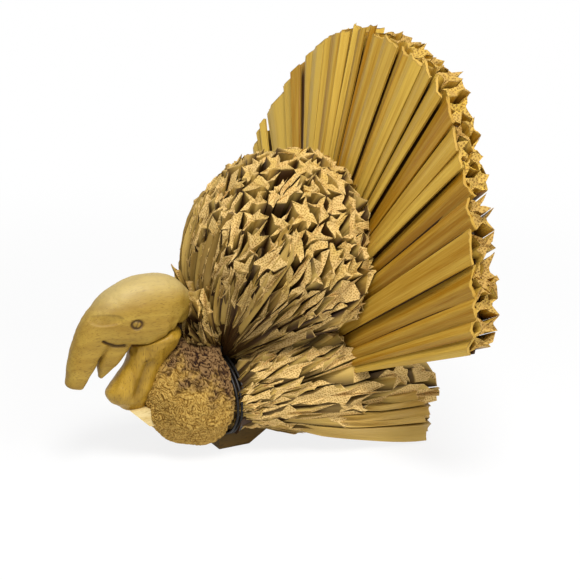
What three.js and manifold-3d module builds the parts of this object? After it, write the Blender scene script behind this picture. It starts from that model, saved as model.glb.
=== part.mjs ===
// A table figure of a turkey: carved wooden head and wattle, and a body, wings, breast and tail
// made of dried rush leaf, bound, fanned out and trimmed, all carried on a sawn wooden keel.
// Millimetres, +Z up. The bird looks along -Y and its left side is +X.
// The origin is the centre of the keel's flat foot.
import * as THREE from "three";
import { mergeVertices } from "three/addons/utils/BufferGeometryUtils.js";
import Module from "manifold-3d";

const wasm = await Module();
wasm.setup();

const V = (x, y, z) => new THREE.Vector3(x, y, z);

// Driving dimensions

const SEAT_GAP = 0.35; // between pieces that touch on the real figure
const STRIP_GAP = 0.45; // between neighbouring leaf strips

// Keel: a sawn board on edge, with a foot below and a round seat for the tail above
const KEEL_THICKNESS = 20;
const FOOT_LENGTH = 20;
const KEEL_BEVEL_RUN = 24;
const KEEL_BEVEL_RISE = 15;
const KEEL_FRONT_TOP = 39;
const KEEL_SHOULDER = V(0, 4, 45);
const TAIL_SEAT = V(0, 52, 60);
const TAIL_SEAT_RADIUS = 15;

// Breast: a ball of fine shavings with a flat back
const BREAST_CENTRE = V(0, -22, 36.5);
const BREAST_RADIUS = 32.5;
const BREAST_BACK_Y = -9.5;
const BREAST_STRANDS = 40;
const BREAST_RELIEF = 0.1;

// Back: a dome of leaf strips that spread from a root behind the neck
const BACK_ROOT = V(0, -4, 52);
const BACK_CENTRE = V(0, 40.5, 108);
const BACK_RADII = V(66, 62.5, 67.5);
const BACK_LEAD = 8; // how far from the root the strips are still packed in a cone
const BACK_LONGEST = 152;
const BACK_CONE = [54, 68]; // degrees from the axis where strips have no length: sideways, to front and back
const BACK_STRIPS = 84;
const BACK_SPREAD = 66; // degrees from the bundle's axis
const BACK_CORE = 0.55; // share of each strip that is pressed solid

// Wings: one club-shaped bundle on each side, resting on the floor at the back
const WING_ROOT = V(19, -4, 36);
const WING_END = V(47, 112, 19);
const WING_ARCH = 12.5; // how far the middle of a wing is lifted
const WING_ROOT_RADII = [10, 14.5]; // across and up
const WING_WIDEST_RADII = [23, 34];
const WING_END_RADII = [17, 18.5];
const WING_WIDEST_AT = 0.56;
const WING_STRIPS = 22;
const WING_SPREAD = 27;
const WING_FAN_POINT = 44; // how far in front of the root the strips would meet
const WING_CORE = 0.5;

// Tail: folded leaves fanned round the keel's seat, strung on a wire
const TAIL_LEAVES = 22;
const TAIL_HALF_ANGLE = 81.5;
const TAIL_HALF_WIDTH = 148;
const TAIL_HEIGHT = 184;
const TAIL_SWEEP = 22; // how far the rim stands behind the seat, all round
const TAIL_LEAN = 27; // and how much further at the top
const TAIL_ROOT_DEPTH = 9;
const TAIL_RIM_DEPTH = 18;
const TAIL_FOLD = 0.4; // how far a leaf is folded in at its sides
const TAIL_RAGGED = 0.01; // how much neighbouring leaves differ in length
const TAIL_RIM = [ // angle from the top, and the share of the oval that the leaves there reach
  [-82, 0.985], [-38, 0.99], [-20, 1], [20, 1], [28, 1.03], [36, 1.035], [44, 1.02], [55, 1], [65, 1],
  [72, 1.01], [77, 1.015], [82, 1],
];
const TAIL_ROOM = 0.1; // space kept clear of the fan, as a share of its depth
const TAIL_WIRE_AT = 27; // from the seat's centre
const TAIL_WIRE_RADIUS = 0.8;

// Waist tie: black wire wound round the roots of the wings and back
const TIE_RADII = [BREAST_RADIUS - 1, BREAST_RADIUS - 8.5]; // across and up
const TIE_CENTRE_Z = 33;
const TIE_WIRE_RADIUS = 0.9;
const TIE_TURNS = 2.4;
const TIE_PITCH = 2.5;
const TIE_TAIL = 9;

// Head and wattle, as carved sections from the nape to the tip of the snood
const HEAD_SECTIONS = [
  // y, z of the middle, half height, half width
  [-28.5, 88, 8, 8.5],
  [-33, 91, 13.5, 11.5],
  [-42, 93.3, 17.8, 14.2],
  [-55, 92, 19.7, 15],
  [-69, 89.3, 16.6, 13.5],
  [-80.5, 83.6, 11.5, 10.5],
  [-88.2, 73.5, 8.8, 8.4],
  [-92.8, 62, 7.4, 7.2],
  [-96.3, 52.8, 5.2, 5.4],
];
const BEAK_SECTIONS = [
  [-69.5, 77, 8.5, 9.5],
  [-72, 71.5, 7.2, 8.6],
  [-76.6, 63.5, 5.2, 6.6],
  [-79, 57.5, 2.4, 3.6],
];
const WATTLE_SECTIONS = [
  [-45, 74, 15, 10.5],
  [-47.5, 68, 14.5, 9.8],
  [-52.5, 60, 12.6, 9],
  [-57.5, 52, 14, 9.6],
  [-62.2, 44.5, 15, 10],
  [-62.8, 38.5, 12, 8.2],
  [-60.5, 34.5, 8.5, 5.6],
];
const HEAD_JOINT = V(0, -46, 74); // a point on the saw cut between head and wattle
const HEAD_JOINT_TILT = 18.5; // degrees, rising to the back
const HEAD_JOINT_FRONT = 18.5; // from that point to the front of the cut
const EYE = V(13.2, -55.9, 83); // on the left cheek
const EYE_RADII = [3.7, 2.9];
const EYE_GROOVE = 1;
const EYE_DEPTH = 1.3;
const MOUTH_FRONT = V(6.8, -79, 76.2); // at the bottom of the knife cut
const MOUTH_BEND = V(6.8, -72, 73.4);
const MOUTH_CORNER = V(6.8, -63.5, 71.6);
const MOUTH_HEIGHT = 1.6;
const GOUGE = V(13.2, -76, 90); // a shallow scoop beside the snood
const GOUGE_RADII = V(2.6, 9.5, 3.4);

// Neck block: a plain bar from the keel to below the wattle
const NECK_WIDTH = 17;
const NECK_FRONT_Y = -65;
const NECK_FRONT_Z = [22.5, 33.2];
const NECK_NOSE = 11; // how far its slanted front runs back
const NECK_BACK_Z = [15, 36];
const NECK_STEP_Y = -46.5; // where its top turns level

// Glued dowels
const DOWEL_RADIUS = 2.8;
const DOWEL_CLEARANCE = 0.15;
const HEAD_DOWEL_LENGTH = 26;
const WATTLE_DOWEL_LENGTH = 9;
const WATTLE_DOWEL_Y = -57;
const NECK_DOWEL_LENGTH = 20;
const NECK_DOWEL_Z = 25;

const FLOOR_Z = 0;
const FOOT_FRONT_Y = -FOOT_LENGTH / 2;
const FOOT_BACK_Y = FOOT_LENGTH / 2;
const KEEL_HALF = KEEL_THICKNESS / 2;

// Mesh helpers

// A closed skin over rings that have the same number of points, with a fan at each end.
function loft(rings) {
  const count = rings[0].length;
  const points = rings.flat();
  const faces = [];
  for (let r = 0; r + 1 < rings.length; r++)
    for (let i = 0; i < count; i++) {
      const a = r * count + i;
      const b = r * count + ((i + 1) % count);
      faces.push(a, b, b + count, a, b + count, a + count);
    }
  for (const [r, turn] of [[0, 1], [rings.length - 1, 0]]) {
    const hub = points.push(middle(rings[r])) - 1;
    for (let i = 0; i < count; i++) {
      const rim = [r * count + i, r * count + ((i + 1) % count)];
      faces.push(hub, rim[turn], rim[1 - turn]);
    }
  }
  return closedMesh(points, faces);
}

function middle(points) {
  return points.reduce((sum, p) => sum.add(p), V(0, 0, 0)).divideScalar(points.length);
}

// Turns the faces round if they point inwards.
function closedMesh(points, faces) {
  let volume = 0;
  for (let i = 0; i < faces.length; i += 3) {
    const [a, b, c] = [points[faces[i]], points[faces[i + 1]], points[faces[i + 2]]];
    volume += a.dot(b.clone().cross(c));
  }
  const out = volume < 0 ? faces.toReversed() : faces;
  const geometry = new THREE.BufferGeometry().setFromPoints(points);
  return geometry.setIndex(out);
}

function solid(geometry) {
  const bare = geometry.clone();
  bare.deleteAttribute("normal");
  bare.deleteAttribute("uv");
  const merged = mergeVertices(bare, 1e-4);
  const vertProperties = merged.attributes.position.array;
  const triVerts = new Uint32Array(merged.index.array);
  return new wasm.Manifold(new wasm.Mesh({ numProp: 3, vertProperties, triVerts }));
}

function geometryOf(body) {
  const { vertProperties, triVerts } = body.getMesh();
  const position = new THREE.BufferAttribute(new Float32Array(vertProperties), 3);
  const index = new THREE.BufferAttribute(new Uint32Array(triVerts), 1);
  return new THREE.BufferGeometry().setAttribute("position", position).setIndex(index);
}

function largest(body) {
  return body.decompose().reduce((a, b) => (b.volume() > a.volume() ? b : a));
}

function ball(centre, radii, segments = 20) {
  const geometry = new THREE.SphereGeometry(1, segments, Math.round(segments * 0.6));
  geometry.scale(radii.x, radii.y, radii.z).translate(centre.x, centre.y, centre.z);
  return solid(geometry);
}

function bar(from, to, radius, sides = 14) {
  const geometry = new THREE.CylinderGeometry(radius, radius, from.distanceTo(to), sides);
  const along = to.clone().sub(from).normalize();
  geometry.applyQuaternion(new THREE.Quaternion().setFromUnitVectors(V(0, 1, 0), along));
  const centre = from.clone().lerp(to, 0.5);
  return solid(geometry.translate(centre.x, centre.y, centre.z));
}

function box(low, high) {
  const size = high.clone().sub(low);
  const centre = low.clone().add(high).divideScalar(2);
  const geometry = new THREE.BoxGeometry(size.x, size.y, size.z);
  return solid(geometry.translate(centre.x, centre.y, centre.z));
}

// A side view outline, given in y and z, made as thick as a board and grown by a margin.
function board(outline, thickness, grow = 0) {
  const bevel = { bevelThickness: grow, bevelSize: grow, bevelSegments: 1 };
  const settings = { depth: thickness, curveSegments: 10, bevelEnabled: grow > 0, ...bevel };
  const geometry = new THREE.ExtrudeGeometry(outline, settings);
  geometry.translate(0, 0, -thickness / 2);
  const axes = new THREE.Matrix4().makeBasis(V(0, 1, 0), V(0, 0, 1), V(1, 0, 0));
  return solid(geometry.applyMatrix4(axes));
}

// A wire of round section along a list of points.
function wire(points, radius, sides = 6) {
  const path = new THREE.CatmullRomCurve3(points);
  const section = new THREE.Shape().absarc(0, 0, radius, 0, 2 * Math.PI);
  const steps = points.length - 1;
  const settings = { steps, curveSegments: sides / 2, bevelEnabled: false, extrudePath: path };
  return solid(new THREE.ExtrudeGeometry(section, settings));
}

// Carved forms: oval sections that follow a curve in the middle plane of the bird

function carved(sections, { grow = 0, sides = 16, steps = 18, level = false } = {}) {
  const spine = new THREE.CatmullRomCurve3(sections.map(([y, z]) => V(0, y, z)));
  const sizes = new THREE.CatmullRomCurve3(sections.map(([, , high, wide]) => V(wide, high, 0)));
  const rings = [];
  for (let i = 0; i <= steps; i++) {
    const along = spine.getTangent(i / steps);
    const across = level ? V(0, 1, 0) : V(0, -along.z, along.y);
    const size = sizes.getPoint(i / steps);
    const centre = spine.getPoint(i / steps);
    rings.push(ovalRing(centre, across, size.x + grow, size.y + grow, sides));
  }
  const ends = [endRing(rings[0], rings[1], sides, grow), endRing(rings.at(-1), rings.at(-2), sides, grow)];
  return solid(loft([ends[0], ...rings, ends[1]]));
}

function ovalRing(centre, across, wide, high, sides) {
  return Array.from({ length: sides }, (_, k) => {
    const turn = (2 * Math.PI * k) / sides;
    return centre.clone().add(V(wide * Math.cos(turn), 0, 0)).addScaledVector(across, high * Math.sin(turn));
  });
}

// Rounds an end off with one smaller ring beyond it.
function endRing(ring, before, sides, grow) {
  const centre = middle(ring);
  const out = centre.clone().sub(middle(before)).normalize();
  const reach = 0.35 * ring[Math.round(sides / 4)].distanceTo(centre) + grow;
  return ring.map((p) => centre.clone().lerp(p, 0.62).addScaledVector(out, reach));
}

const wattleForm = (grow = 0) => carved(WATTLE_SECTIONS, { grow, sides: 16, steps: 14, level: true });

const jointTilt = THREE.MathUtils.degToRad(HEAD_JOINT_TILT);
const jointUp = V(0, -Math.sin(jointTilt), Math.cos(jointTilt));

// All that lies above or below the saw cut between head and wattle, behind the beak.
function beyondJoint(side) {
  const reach = 90;
  const block = new THREE.BoxGeometry(2 * reach, 2 * reach, reach);
  block.translate(0, reach - HEAD_JOINT_FRONT, (side * (reach + SEAT_GAP)) / 2);
  block.rotateX(jointTilt);
  return solid(block.translate(0, HEAD_JOINT.y, HEAD_JOINT.z));
}

function headSolid() {
  const beak = carved(BEAK_SECTIONS, { sides: 12, steps: 6 });
  const shape = carved(HEAD_SECTIONS).add(beak).subtract(beyondJoint(-1));
  const pupil = EYE_RADII.map((radius) => radius - EYE_GROOVE);
  const eyeRing = ovalRod(EYE, EYE_RADII).subtract(ovalRod(EYE, pupil));
  const cuts = [eyeRing, mouthCut(), ball(GOUGE, GOUGE_RADII, 12)];
  return cuts.reduce((body, cut) => body.subtract(cut).subtract(cut.mirror([1, 0, 0])), shape);
}

// A short oval rod across the cheek, as deep as the eye is cut.
function ovalRod(centre, [long, high]) {
  const rod = new THREE.CylinderGeometry(1, 1, 2 * EYE_DEPTH, 16);
  rod.rotateZ(Math.PI / 2).scale(1, long, high);
  return solid(rod.translate(centre.x, centre.y, centre.z));
}

// A knife cut along the mouth, from the snood to the corner of the beak.
function mouthCut() {
  const depth = 6;
  const half = MOUTH_HEIGHT / 2;
  const outline = new THREE.Shape();
  outline.moveTo(MOUTH_FRONT.y, MOUTH_FRONT.z + half);
  outline.quadraticCurveTo(MOUTH_BEND.y, MOUTH_BEND.z + half, MOUTH_CORNER.y, MOUTH_CORNER.z);
  outline.quadraticCurveTo(MOUTH_BEND.y, MOUTH_BEND.z - half, MOUTH_FRONT.y, MOUTH_FRONT.z - half);
  return board(outline, depth).translate([MOUTH_FRONT.x + depth / 2, 0, 0]);
}

// Bundles of leaf strips

// Places on a disc, spread evenly in a spiral, out to an angle from the bundle's axis.
function spiralSeeds(count, spread) {
  const golden = Math.PI * (3 - Math.sqrt(5));
  const edge = 2 * Math.sin(spread / 2);
  const guard = Math.ceil(count * 0.45);
  return Array.from({ length: count + guard }, (_, i) => {
    const far = edge * Math.sqrt((i + 0.5) / count);
    return new THREE.Vector2(far * Math.cos(i * golden), far * Math.sin(i * golden));
  });
}

// The part of the disc that is nearer to one seed than to any other.
function cellOf(seed, seeds) {
  const far = 4;
  let cell = [[-far, -far], [far, -far], [far, far], [-far, far]].map(([a, b]) => new THREE.Vector2(a, b));
  for (const other of seeds) {
    if (other === seed) continue;
    const away = other.clone().sub(seed);
    const limit = away.dot(seed.clone().add(other)) / 2;
    const kept = [];
    cell.forEach((p, i) => {
      const q = cell[(i + 1) % cell.length];
      const [dp, dq] = [away.dot(p) - limit, away.dot(q) - limit];
      if (dp <= 0) kept.push(p);
      if (dp * dq < 0) kept.push(p.clone().lerp(q, dp / (dp - dq)));
    });
    cell = kept;
  }
  return cell;
}

// A leaf's section: a star whose tips meet the neighbours and whose sides are hollow.
function starOf(cell, seed, hollow, tip) {
  if (!hollow) return cell.map((p) => p.clone().lerp(seed, tip));
  return cell.flatMap((p, i) => {
    const q = cell[(i + 1) % cell.length];
    const side = p.clone().lerp(q, 0.5);
    return [p.clone().lerp(seed, tip), side.lerp(seed, hollow)];
  });
}

// The direction that a place on the disc stands for: equal areas keep equal solid angles.
function directionOf(place, frame) {
  const far = Math.min(place.length(), 1.99);
  const polar = 2 * Math.asin(far / 2);
  const turn = Math.atan2(place.y, place.x);
  const side = frame.side.clone().multiplyScalar(Math.cos(turn) * Math.sin(polar));
  const up = frame.up.clone().multiplyScalar(Math.sin(turn) * Math.sin(polar));
  return frame.axis.clone().multiplyScalar(Math.cos(polar)).add(side).add(up);
}

function frameAlong(direction) {
  const axis = direction.clone().normalize();
  const side = V(1, 0, 0).addScaledVector(axis, -axis.x).normalize();
  return { axis, side, up: side.clone().cross(axis) };
}

// How far a ray stays inside a form.
function reachOf(from, direction, inside, longest) {
  const step = 1.5;
  const at = (t) => from.clone().addScaledVector(direction, t);
  let good = 0;
  while (good < longest && inside(at(good + step))) good += step;
  let bad = good + step;
  for (let i = 0; i < 10; i++) {
    const half = (good + bad) / 2;
    if (inside(at(half))) good = half;
    else bad = half;
  }
  return good;
}

const LONGEST_STRIP = 260;

// The pressed middle of a bundle: rings of rays from the root, each a share of its reach long.
function rayCore({ from, toward, spread, inside, share }) {
  const frame = frameAlong(toward);
  const widest = 2 * Math.sin(THREE.MathUtils.degToRad(spread) / 2);
  const rings = [0.15, 0.4, 0.65, 0.85, 1].map((out) =>
    Array.from({ length: 20 }, (_, k) => {
      const turn = (2 * Math.PI * k) / 20;
      const place = new THREE.Vector2(Math.cos(turn), Math.sin(turn)).multiplyScalar(out * widest);
      const direction = directionOf(place, frame);
      const reach = reachOf(from, direction, inside, LONGEST_STRIP);
      return from.clone().addScaledVector(direction, Math.max(2, share * reach));
    }));
  return solid(loft(rings));
}

// Leaf strips that spread from a point and end where the form does, joined in a solid core.
function bundle({ from, toward, count, spread, hollow, start, inside, core, shortest = 9, ragged = 0.05 }) {
  const frame = frameAlong(toward);
  const halfAngle = THREE.MathUtils.degToRad(spread);
  const solidAngle = 2 * Math.PI * (1 - Math.cos(halfAngle));
  const seeds = spiralSeeds(count, halfAngle);
  let body = core;
  for (let i = 0; i < count; i++) {
    const cell = cellOf(seeds[i], seeds);
    const reachMiddle = reachOf(from, directionOf(seeds[i], frame), inside, LONGEST_STRIP);
    if (reachMiddle < shortest) continue;
    const width = reachMiddle * Math.sqrt(solidAngle / count);
    const star = starOf(cell, seeds[i], hollow, Math.min(0.3, (2 * STRIP_GAP) / width));
    const lines = star.map((place) => {
      const direction = directionOf(place, frame);
      return { direction, reach: reachOf(from, direction, inside, LONGEST_STRIP) };
    });
    const shortBy = 1 - ragged * ((i * 0.618) % 1);
    const least = Math.min(...lines.map((line) => line.reach));
    if (least < 0.3 * reachMiddle) continue;
    const inner = start * least;
    const ring = (length) =>
      lines.map(({ direction, reach }) => from.clone().addScaledVector(direction, length(reach)));
    body = body.add(solid(loft([ring(() => inner), ring((reach) => reach * shortBy)])));
  }
  return body;
}

// Forms that the bundles are trimmed to

const insideBall = (p, centre, radii) =>
  p.clone().sub(centre).divide(radii).length() < 1;

// The plane of the tail's front, which sweeps and leans back from its seat.
function tailFrontY(p) {
  const [across, rise] = [p.x / TAIL_HALF_WIDTH, (p.z - TAIL_SEAT.z) / TAIL_HEIGHT];
  const share = Math.hypot(across, rise);
  const thick = THREE.MathUtils.lerp(TAIL_ROOT_DEPTH, TAIL_RIM_DEPTH, share);
  return TAIL_SEAT.y - TAIL_ROOT_DEPTH / 2 + TAIL_SWEEP * share + TAIL_LEAN * rise - TAIL_ROOM * thick;
}

const wingAxis = WING_END.clone().sub(WING_ROOT);
const wingFrame = frameAlong(wingAxis);

// Half width and half height of a wing, along its length.
function wingRadii(share) {
  const mix = THREE.MathUtils.smoothstep(share, -0.25, WING_WIDEST_AT);
  const trim = Math.max(0, (share - WING_WIDEST_AT) / (1 - WING_WIDEST_AT)) ** 2;
  return [0, 1].map((k) => {
    const swollen = THREE.MathUtils.lerp(WING_ROOT_RADII[k], WING_WIDEST_RADII[k], mix);
    return THREE.MathUtils.lerp(swollen, WING_END_RADII[k], Math.min(trim, 1));
  });
}

// The lift of a wing's middle line, which is most at half its length.
const wingLift = (share) => WING_ARCH * 4 * share * (1 - share);

// True inside the club form of the left wing, grown by a margin.
function insideWing(p, grow = 0) {
  const from = p.clone().sub(WING_ROOT);
  const share = from.dot(wingFrame.axis) / wingAxis.length();
  if (share < -grow / 50 || share > 1 + grow / 50) return false;
  const [wide, high] = wingRadii(share);
  const rise = from.dot(wingFrame.up) - wingLift(share);
  return (from.dot(wingFrame.side) / (wide + grow)) ** 2 + (rise / (high + grow)) ** 2 < 1;
}

const mirrored = (p) => V(Math.abs(p.x), p.y, p.z);

const keelOutline = (() => {
  const shape = new THREE.Shape();
  const seat = TAIL_SEAT;
  shape.moveTo(FOOT_FRONT_Y, FLOOR_Z);
  shape.lineTo(FOOT_BACK_Y, FLOOR_Z);
  shape.lineTo(FOOT_BACK_Y + KEEL_BEVEL_RUN, FLOOR_Z + KEEL_BEVEL_RISE);
  shape.absarc(seat.y, seat.z, TAIL_SEAT_RADIUS, -0.3, Math.PI * 0.78);
  shape.lineTo(KEEL_SHOULDER.y, KEEL_SHOULDER.z);
  shape.lineTo(FOOT_FRONT_Y, KEEL_FRONT_TOP);
  return shape;
})();

const neckOutline = (() => {
  const [frontLow, frontHigh] = NECK_FRONT_Z;
  const [backLow, backHigh] = NECK_BACK_Z;
  const back = FOOT_FRONT_Y - SEAT_GAP;
  const shape = new THREE.Shape();
  shape.moveTo(back, backLow);
  shape.lineTo(back, backHigh);
  shape.lineTo(NECK_STEP_Y, frontHigh);
  shape.lineTo(NECK_FRONT_Y, frontHigh);
  shape.lineTo(NECK_FRONT_Y + NECK_NOSE, frontLow);
  return shape;
})();

const dowels = {
  head: dowelLine(HEAD_JOINT.clone(), jointUp, HEAD_DOWEL_LENGTH),
  wattle: dowelLine(V(0, WATTLE_DOWEL_Y, NECK_FRONT_Z[1]), V(0, 0, 1), WATTLE_DOWEL_LENGTH),
  neck: dowelLine(V(0, FOOT_FRONT_Y, NECK_DOWEL_Z), V(0, -1, 0), NECK_DOWEL_LENGTH),
};

function dowelLine(centre, along, length) {
  return [-0.5, 0.5].map((share) => centre.clone().addScaledVector(along, share * length));
}

const dowelHole = ([from, to]) => {
  const end = to.clone().sub(from).setLength(SEAT_GAP);
  return bar(from.clone().sub(end), to.clone().add(end), DOWEL_RADIUS + DOWEL_CLEARANCE);
};

const keel = board(keelOutline, KEEL_THICKNESS)
  .subtract(dowelHole(dowels.neck))
  .subtract(tieRoom(TIE_WIRE_RADIUS + SEAT_GAP));
const keelRoom = board(keelOutline, KEEL_THICKNESS, SEAT_GAP);
const neck = board(neckOutline, NECK_WIDTH)
  .subtract(dowelHole(dowels.neck))
  .subtract(dowelHole(dowels.wattle));
const neckRoom = board(neckOutline, NECK_WIDTH, SEAT_GAP);
const head = headSolid().subtract(dowelHole(dowels.head));
const wattle = wattleForm()
  .subtract(beyondJoint(1))
  .subtract(neckRoom)
  .subtract(dowelHole(dowels.head))
  .subtract(dowelHole(dowels.wattle));

// Breast

function breastSolid() {
  const from = V(BREAST_CENTRE.x, BREAST_BACK_Y - 3, BREAST_CENTRE.z);
  const radii = V(BREAST_RADIUS, BREAST_RADIUS, BREAST_RADIUS);
  const share = 1 - BREAST_RELIEF;
  const inside = (p) => insideBall(p, BREAST_CENTRE, radii) && p.y < BREAST_BACK_Y && p.z > FLOOR_Z + 1;
  const core = ball(from.clone().lerp(BREAST_CENTRE, share), radii.clone().multiplyScalar(share), 14);
  const form = { from, toward: V(0, -1, 0), count: BREAST_STRANDS, spread: 86, hollow: 0, start: 0.6 };
  const body = bundle({ ...form, inside, core, shortest: 4, ragged: 0.03 });
  const far = 2 * BREAST_RADIUS;
  const behind = box(V(-far, BREAST_BACK_Y, -far), V(far, BREAST_BACK_Y + far, 2 * far));
  const wattleRoom = wattleForm(SEAT_GAP);
  return largest(body.subtract(behind).subtract(wattleRoom).subtract(neckRoom).subtract(keelRoom));
}

// Back dome

const backAxis = BACK_CENTRE.clone().sub(BACK_ROOT);
const backFrame = frameAlong(backAxis);

// True inside a drop with its point at the waist: the further from it, the smaller the angle that is left.
function insideDrop(p) {
  const away = p.clone().sub(BACK_ROOT);
  const [along, across, rise] = [backFrame.axis, backFrame.side, backFrame.up].map((axis) => away.dot(axis));
  const off = Math.hypot(across, rise);
  const cone = THREE.MathUtils.lerp(...BACK_CONE, off > 0 ? (rise / off) ** 2 : 0);
  const left = cone * Math.sqrt(Math.max(0, 1 - (away.length() / BACK_LONGEST) ** 2));
  return THREE.MathUtils.radToDeg(Math.atan2(off, along)) < left;
}

function backSolid() {
  const breastRadii = V(1, 1, 1).multiplyScalar(BREAST_RADIUS + SEAT_GAP);
  const breastBack = BREAST_BACK_Y + SEAT_GAP;
  const inside = (p) =>
    insideDrop(p) &&
    (p.clone().sub(BACK_ROOT).dot(backFrame.axis) < BACK_LEAD || insideBall(p, BACK_CENTRE, BACK_RADII)) &&
    p.y < tailFrontY(p) - SEAT_GAP &&
    !(p.y < breastBack && insideBall(p, BREAST_CENTRE, breastRadii)) &&
    !insideWing(mirrored(p), 3 * SEAT_GAP);
  const spread = BACK_SPREAD;
  const form = { from: BACK_ROOT, toward: backAxis, count: BACK_STRIPS, spread, hollow: 0.38, start: 0.35 };
  const core = rayCore({ ...form, spread: 0.9 * spread, inside, share: BACK_CORE });
  const body = bundle({ ...form, inside, core });
  const far = 2 * BREAST_RADIUS;
  const inFront = box(V(-far, breastBack - far * 2, -far), V(far, breastBack, 2 * far));
  const breastRoom = ball(BREAST_CENTRE, breastRadii).intersect(inFront);
  return [breastRoom, wingRoom(1), wingRoom(-1), keelRoom, tailRoom(), tieRoom(), headRoom()]
    .reduce((left, room) => left.subtract(room), body);
}

const headRoom = () => carved(HEAD_SECTIONS, { grow: SEAT_GAP });

// Wings

// Rings of the club form, grown by a margin, from the root to the trimmed end.
function wingForm(grow, from = 0, to = 1, shrink = 1) {
  const shares = Array.from({ length: 11 }, (_, i) => THREE.MathUtils.lerp(from, to, i / 10));
  const rings = shares.map((share) => {
    const centre = WING_ROOT.clone().addScaledVector(wingAxis, share);
    centre.addScaledVector(wingFrame.up, wingLift(share));
    const [wide, high] = wingRadii(share).map((radius) => radius * shrink + grow);
    return Array.from({ length: 16 }, (_, k) => {
      const turn = (2 * Math.PI * k) / 16;
      const out = wingFrame.side.clone().multiplyScalar(wide * Math.cos(turn));
      return centre.clone().add(out).addScaledVector(wingFrame.up, high * Math.sin(turn));
    });
  });
  return solid(loft(rings));
}

const mirror = (body, side) => (side > 0 ? body : body.mirror([1, 0, 0]));
const wingRoom = (side) => mirror(wingForm(2 * SEAT_GAP, -0.005, 1.005), side);

function wingSolid(side) {
  const from = WING_ROOT.clone().addScaledVector(wingFrame.axis, -WING_FAN_POINT);
  const inKeel = (p) => p.x < KEEL_HALF + SEAT_GAP;
  const ahead = (p) => p.clone().sub(WING_ROOT).dot(wingFrame.axis) < 0;
  const inside = (p) => ahead(p) || (insideWing(p) && p.z > FLOOR_Z && !inKeel(p));
  const core = wingForm(0, 0, WING_CORE, 0.94);
  const form = { from, toward: wingAxis, count: WING_STRIPS, spread: WING_SPREAD, hollow: 0.3, start: 0.5 };
  const body = bundle({ ...form, inside, core, shortest: WING_FAN_POINT + 12, ragged: 0.04 });
  const far = 300;
  const below = box(V(-far, -far, FLOOR_Z - far), V(far, far, FLOOR_Z));
  const rooms = [below, keelRoom, tieRoom(), tailRoom()];
  const trimmed = rooms.reduce((left, room) => left.subtract(room), body.intersect(wingForm(SEAT_GAP)));
  return mirror(largest(trimmed), side);
}

// Tail

const leafPitch = (2 * TAIL_HALF_ANGLE) / TAIL_LEAVES;

// A point of the fan: the angle from the top, the share of the way to the rim, and the depth.
function tailPoint(degrees, share, depth) {
  const angle = THREE.MathUtils.degToRad(degrees);
  const [across, rise] = [Math.sin(angle), Math.cos(angle)];
  const back = share * (TAIL_SWEEP + TAIL_LEAN * rise);
  const thick = THREE.MathUtils.lerp(TAIL_ROOT_DEPTH, TAIL_RIM_DEPTH, share);
  const behind = back + depth * thick - TAIL_ROOT_DEPTH / 2;
  const place = V(TAIL_HALF_WIDTH * across * share, behind, TAIL_HEIGHT * rise * share);
  return TAIL_SEAT.clone().add(place);
}

// How far out the shears cut at an angle: straight lines between the rim's marks.
function rimShare(degrees) {
  const next = Math.max(1, TAIL_RIM.findIndex(([angle]) => angle >= degrees));
  const [[low, from], [high, to]] = [TAIL_RIM[next - 1], TAIL_RIM[next]];
  return THREE.MathUtils.mapLinear(degrees, low, high, from, to);
}

// A leaf folded along its length: wide at its front and back, drawn in between.
function tailLeaf(index) {
  const middleAngle = -TAIL_HALF_ANGLE + (index + 0.5) * leafPitch;
  const reach = tailPoint(middleAngle, 1, 0.5).distanceTo(TAIL_SEAT);
  const foot = (TAIL_SEAT_RADIUS + SEAT_GAP) / Math.min(TAIL_HALF_WIDTH, TAIL_HEIGHT);
  const rim = rimShare(middleAngle) - TAIL_RAGGED * (1 + Math.sin(index * 2.4));
  const section = (share) => {
    const half = leafPitch / 2 - THREE.MathUtils.radToDeg(STRIP_GAP / 2 / (share * reach));
    const fold = index % 2 ? 0.05 : -0.03;
    const outline = [
      [-1, 0], [0, fold], [1, 0], [TAIL_FOLD, 0.5], [1, 1], [0, 1 - fold], [-1, 1], [-TAIL_FOLD, 0.5],
    ];
    return outline.map(([across, depth]) => tailPoint(middleAngle + across * half, share, depth));
  };
  const leaf = solid(loft([section(foot), section(rim)]));
  return leaf.subtract(keelRoom).subtract(wireHole(middleAngle));
}

// Where the wire crosses the fan, at an angle from the top.
function wirePoint(degrees) {
  const out = tailPoint(degrees, 1, 0.5).sub(TAIL_SEAT).setLength(TAIL_WIRE_AT);
  return TAIL_SEAT.clone().add(out);
}

// A straight hole through one leaf, along the wire.
function wireHole(degrees) {
  const ends = [-0.8, 0.8].map((share) => wirePoint(degrees + share * leafPitch));
  const middlePoint = wirePoint(degrees);
  const shift = middlePoint.clone().sub(ends[0].clone().lerp(ends[1], 0.5));
  return bar(ends[0].add(shift), ends[1].add(shift), TAIL_WIRE_RADIUS + SEAT_GAP, 6);
}

// The fan as one wedge, for cutting what is packed against it.
function tailRoom() {
  const wide = TAIL_HALF_ANGLE + 0.6 * leafPitch;
  const corners = [[0.04, -TAIL_ROOM], [1, -TAIL_ROOM], [1, 1 + TAIL_ROOM], [0.04, 1 + TAIL_ROOM]];
  const rings = Array.from({ length: TAIL_LEAVES + 1 }, (_, i) => {
    const angle = THREE.MathUtils.lerp(-wide, wide, i / TAIL_LEAVES);
    return corners.map(([share, depth]) => tailPoint(angle, share, depth));
  });
  return solid(loft(rings));
}

// Wire through the roots of the leaves, bent in to the keel at both ends.
function tailWire() {
  const ends = TAIL_HALF_ANGLE + leafPitch * 0.35;
  const steps = 26;
  const points = Array.from({ length: steps + 1 }, (_, i) =>
    wirePoint(THREE.MathUtils.lerp(-ends, ends, i / steps)));
  return wire(points, TAIL_WIRE_RADIUS);
}

// Waist tie

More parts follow.
